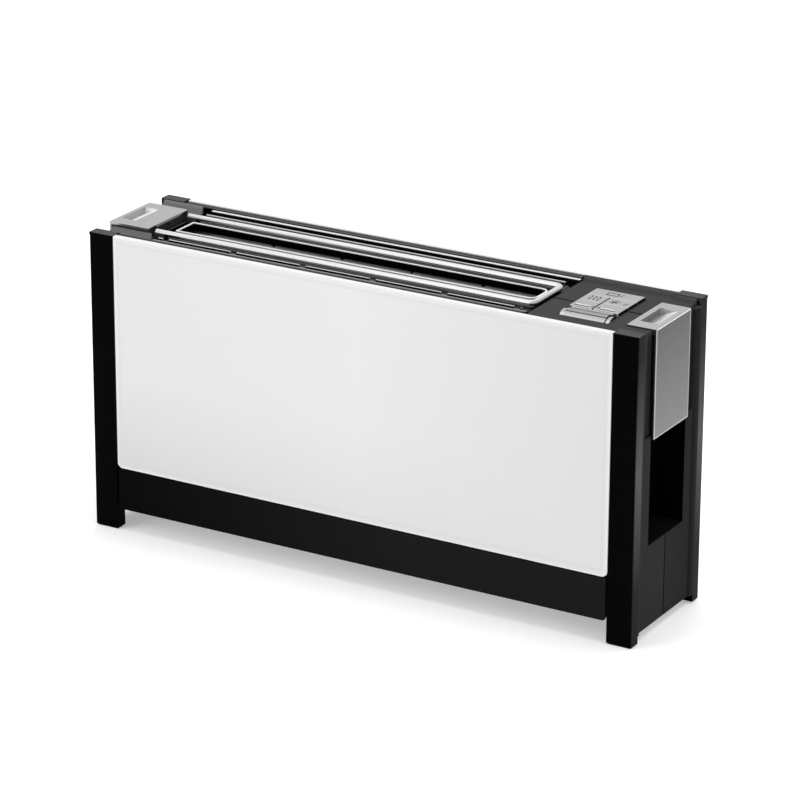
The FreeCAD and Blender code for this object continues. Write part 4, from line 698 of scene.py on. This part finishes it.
bridgeBar()
groovedRoller()
print("roller grooved")

# The sloped curb of the panel, carried on past the right posts
curb = {"left": 191.75, "right": 206.6, "foot": 36.6, "back": 39.9, "floor": 211.9, "lowEdge": 212.05,
        "top": 214.5, "bevel": 0.05, "onCut": 0.001}


def curbEnd(name, side):
    ys = sorted((side * curb["foot"], side * curb["back"]))
    piece = blockAt((curb["left"], ys[0], curb["floor"]), (curb["right"], ys[1], curb["top"]), curb["bevel"])
    bpy.ops.object.mode_set(mode="EDIT")
    bpy.ops.mesh.select_all(action="SELECT")
    slope = Vector((0, -side * (curb["top"] - curb["lowEdge"]), curb["back"] - curb["foot"]))
    spot = (0, side * curb["foot"] * mm, curb["lowEdge"] * mm)
    bpy.ops.mesh.bisect(plane_co=spot, plane_no=slope.normalized(), use_fill=True, clear_outer=True,
                        threshold=curb["onCut"] * mm)
    bpy.ops.object.mode_set(mode="OBJECT")
    finishPiece(piece, name, "right_rear_shell", finishes["black_shell"])


curbEnd("right_rear_curb_end", 1)
curbEnd("right_front_curb_end", -1)

# Curled guide along each side of the slot
guide = {"left": -163.0, "right": 112.6, "top": 207.5, "wall": 9.93, "height": 3.9, "curl": 45, "steps": 6,
         "sheet": 0.3, "startHeight": 0.2, "smooth": 30, "notches": 4, "firstNotch": -98.7, "pitch": 54.4,
         "notch": 2.4, "notchDepth": 1.2, "notchBevel": 0.3, "cutterReach": 2}


def slotGuide(side, name, material):
    centre = ((guide["left"] + guide["right"]) / 2 * mm, side * guide["wall"] * mm, guide["top"] * mm)
    deselectAll()
    bpy.ops.mesh.primitive_plane_add(size=1, location=centre, rotation=(math.pi / 2, 0, 0))
    piece = bpy.context.object
    bpy.ops.object.transform_apply(location=True, rotation=True, scale=True)
    bpy.ops.object.mode_set(mode="EDIT")
    bpy.ops.mesh.select_all(action="SELECT")
    lengths = ((guide["right"] - guide["left"]) * mm, 1, guide["startHeight"] * mm)
    bpy.ops.transform.resize(value=lengths, center_override=centre)
    selectOnly(piece, "EDGE", lambda edge: all(piece.data.vertices[index].co.z < centre[2]
                                               for index in edge.vertices))
    radius = guide["height"] / math.sin(math.radians(guide["curl"]))
    turn = math.radians(guide["curl"]) / guide["steps"]
    for step in range(guide["steps"]):
        first, second = turn * step, turn * (step + 1)
        inward = radius * (math.cos(first) - math.cos(second)) * mm
        down = radius * (math.sin(second) - math.sin(first)) * mm
        bpy.ops.mesh.extrude_region_move(TRANSFORM_OT_translate={"value": (0, -side * inward, -down)})
    bpy.ops.mesh.select_all(action="SELECT")
    bpy.ops.mesh.normals_make_consistent(inside=False)
    bpy.ops.object.mode_set(mode="OBJECT")
    wall = piece.modifiers.new("sheet", "SOLIDIFY")
    wall.thickness = guide["sheet"] * mm
    wall.offset = 0
    bpy.ops.object.modifier_apply(modifier=wall.name)
    half, reach = guide["notch"] / 2, guide["cutterReach"]
    for number in range(guide["notches"]):
        x = guide["firstNotch"] + guide["pitch"] * number
        y = side * guide["wall"]
        carve(piece, blockAt((x - half, y - reach, guide["top"] - guide["notchDepth"]),
                             (x + half, y + reach, guide["top"] + reach), guide["notchBevel"]))
    finishPiece(piece, name, "slot_deck", material)
    bpy.ops.object.shade_smooth_by_angle(angle=math.radians(guide["smooth"]))


guideFinish = guideSteel("guideSteel", guide["top"] - guide["height"], guide["top"])
slotGuide(1, "rear_slot_guide", guideFinish)
slotGuide(-1, "front_slot_guide", guideFinish)
print("slot guides in place")


# Camera as the photograph was taken, found from the corners of the case
view = {"azimuth": 30.239, "elevation": 20.475, "roll": 0.2475, "distance": 2.66523, "lens": 177.6,
        "aim": (0.0, 0.001, 0.107), "slideRight": 0.00551833, "slideUp": 0.00934462, "sensor": 36.0,
        "nearest": 0.05, "farthest": 50.0}


def makeCamera():
    turn, rise, roll = (math.radians(view[angle]) for angle in ("azimuth", "elevation", "roll"))
    back = Vector((math.sin(turn) * math.cos(rise), -math.cos(turn) * math.cos(rise), math.sin(rise)))
    level = Vector((math.cos(turn), math.sin(turn), 0))
    upright = back.cross(level)
    right = level * math.cos(roll) + upright * math.sin(roll)
    up = upright * math.cos(roll) - level * math.sin(roll)
    spot = Vector(view["aim"]) + back * view["distance"] + right * view["slideRight"] + up * view["slideUp"]
    camera = bpy.data.objects.new("camera", bpy.data.cameras.new("camera"))
    camera.data.sensor_width = view["sensor"]
    camera.data.lens = view["lens"]
    camera.data.clip_start = view["nearest"]
    camera.data.clip_end = view["farthest"]
    camera.matrix_world = Matrix((right, up, back)).transposed().to_4x4()
    camera.location = spot
    bpy.context.collection.objects.link(camera)
    bpy.context.scene.camera = camera


makeCamera()

# Lamps, floor and white surroundings, which shine less from the rear and the right into what mirrors them
studio = {
    "ambient": 0.52, "floorSize": 14.0, "floorColour": grey(0.88), "floorGlow": 0.30,
    "skyFront": -0.1, "skyBack": 0.25, "backSky": 0.6, "sideIn": 0.1, "sideOut": 0.5, "sideSky": 0.4,
    "lampAim": (0, 0, 0.1),
    "lamps": [
        ("frontLeft", (-1.6, -2.0, 1.3), 1.6, 26.0),
        ("overhead", (0.2, 0.3, 2.2), 1.8, 24.0),
        ("rightSide", (2.2, -0.4, 1.1), 1.2, 10.0),
        ("rearLeft", (-0.9, 2.4, 1.3), 1.6, 20.0),
    ],
}


def makeLamp(name, spot, size, power):
    lamp = bpy.data.objects.new(name, bpy.data.lights.new(name, "AREA"))
    lamp.data.energy = power
    lamp.data.size = size
    lamp.location = spot
    lamp.rotation_euler = (Vector(studio["lampAim"]) - Vector(spot)).to_track_quat("-Z", "Y").to_euler()
    lamp.visible_glossy = False
    bpy.context.collection.objects.link(lamp)


def makeFloor():
    deselectAll()
    bpy.ops.mesh.primitive_plane_add(size=studio["floorSize"], location=(0, 0, 0))
    floor = bpy.context.object
    floor.name = "floor"
    recipe = Recipe("paleFloor", Roughness=0.9, Specular_IOR_Level=0.0, Base_Color=studio["floorColour"],
                    Emission_Strength=studio["floorGlow"])
    seen = recipe.ray("Is Camera Ray") + recipe.ray("Is Glossy Ray")
    floor.data.materials.append(recipe.paint(Emission_Color=recipe.mix(seen, grey(0.0), grey(1.0))))


def makeSurroundings():
    world = bpy.data.worlds.new("whiteRoom")
    bpy.context.scene.world = world
    world.use_nodes = True
    sky = Graph(world.node_tree)
    camera, glossy, through = (sky.ray(f"Is {kind} Ray") for kind in ("Camera", "Glossy", "Transmission"))
    depth, side = sky.coordinate("Generated", "Y"), sky.coordinate("Generated", "X")
    mirrored = (sky.between(depth, studio["skyFront"], studio["skyBack"], 1.0, studio["backSky"])
                * sky.between(side, studio["sideIn"], studio["sideOut"], 1.0, studio["sideSky"]))
    plain = 1 - camera - glossy - through
    backdrop = world.node_tree.nodes["Background"]
    sky.feed(backdrop.inputs["Color"], grey(1.0))
    sky.feed(backdrop.inputs["Strength"], camera + through + glossy * mirrored + plain * studio["ambient"])


for lampSettings in studio["lamps"]:
    makeLamp(*lampSettings)
makeFloor()
makeSurroundings()
bpy.context.scene.view_settings.view_transform = "Standard"
print("camera, lamps and floor in place")
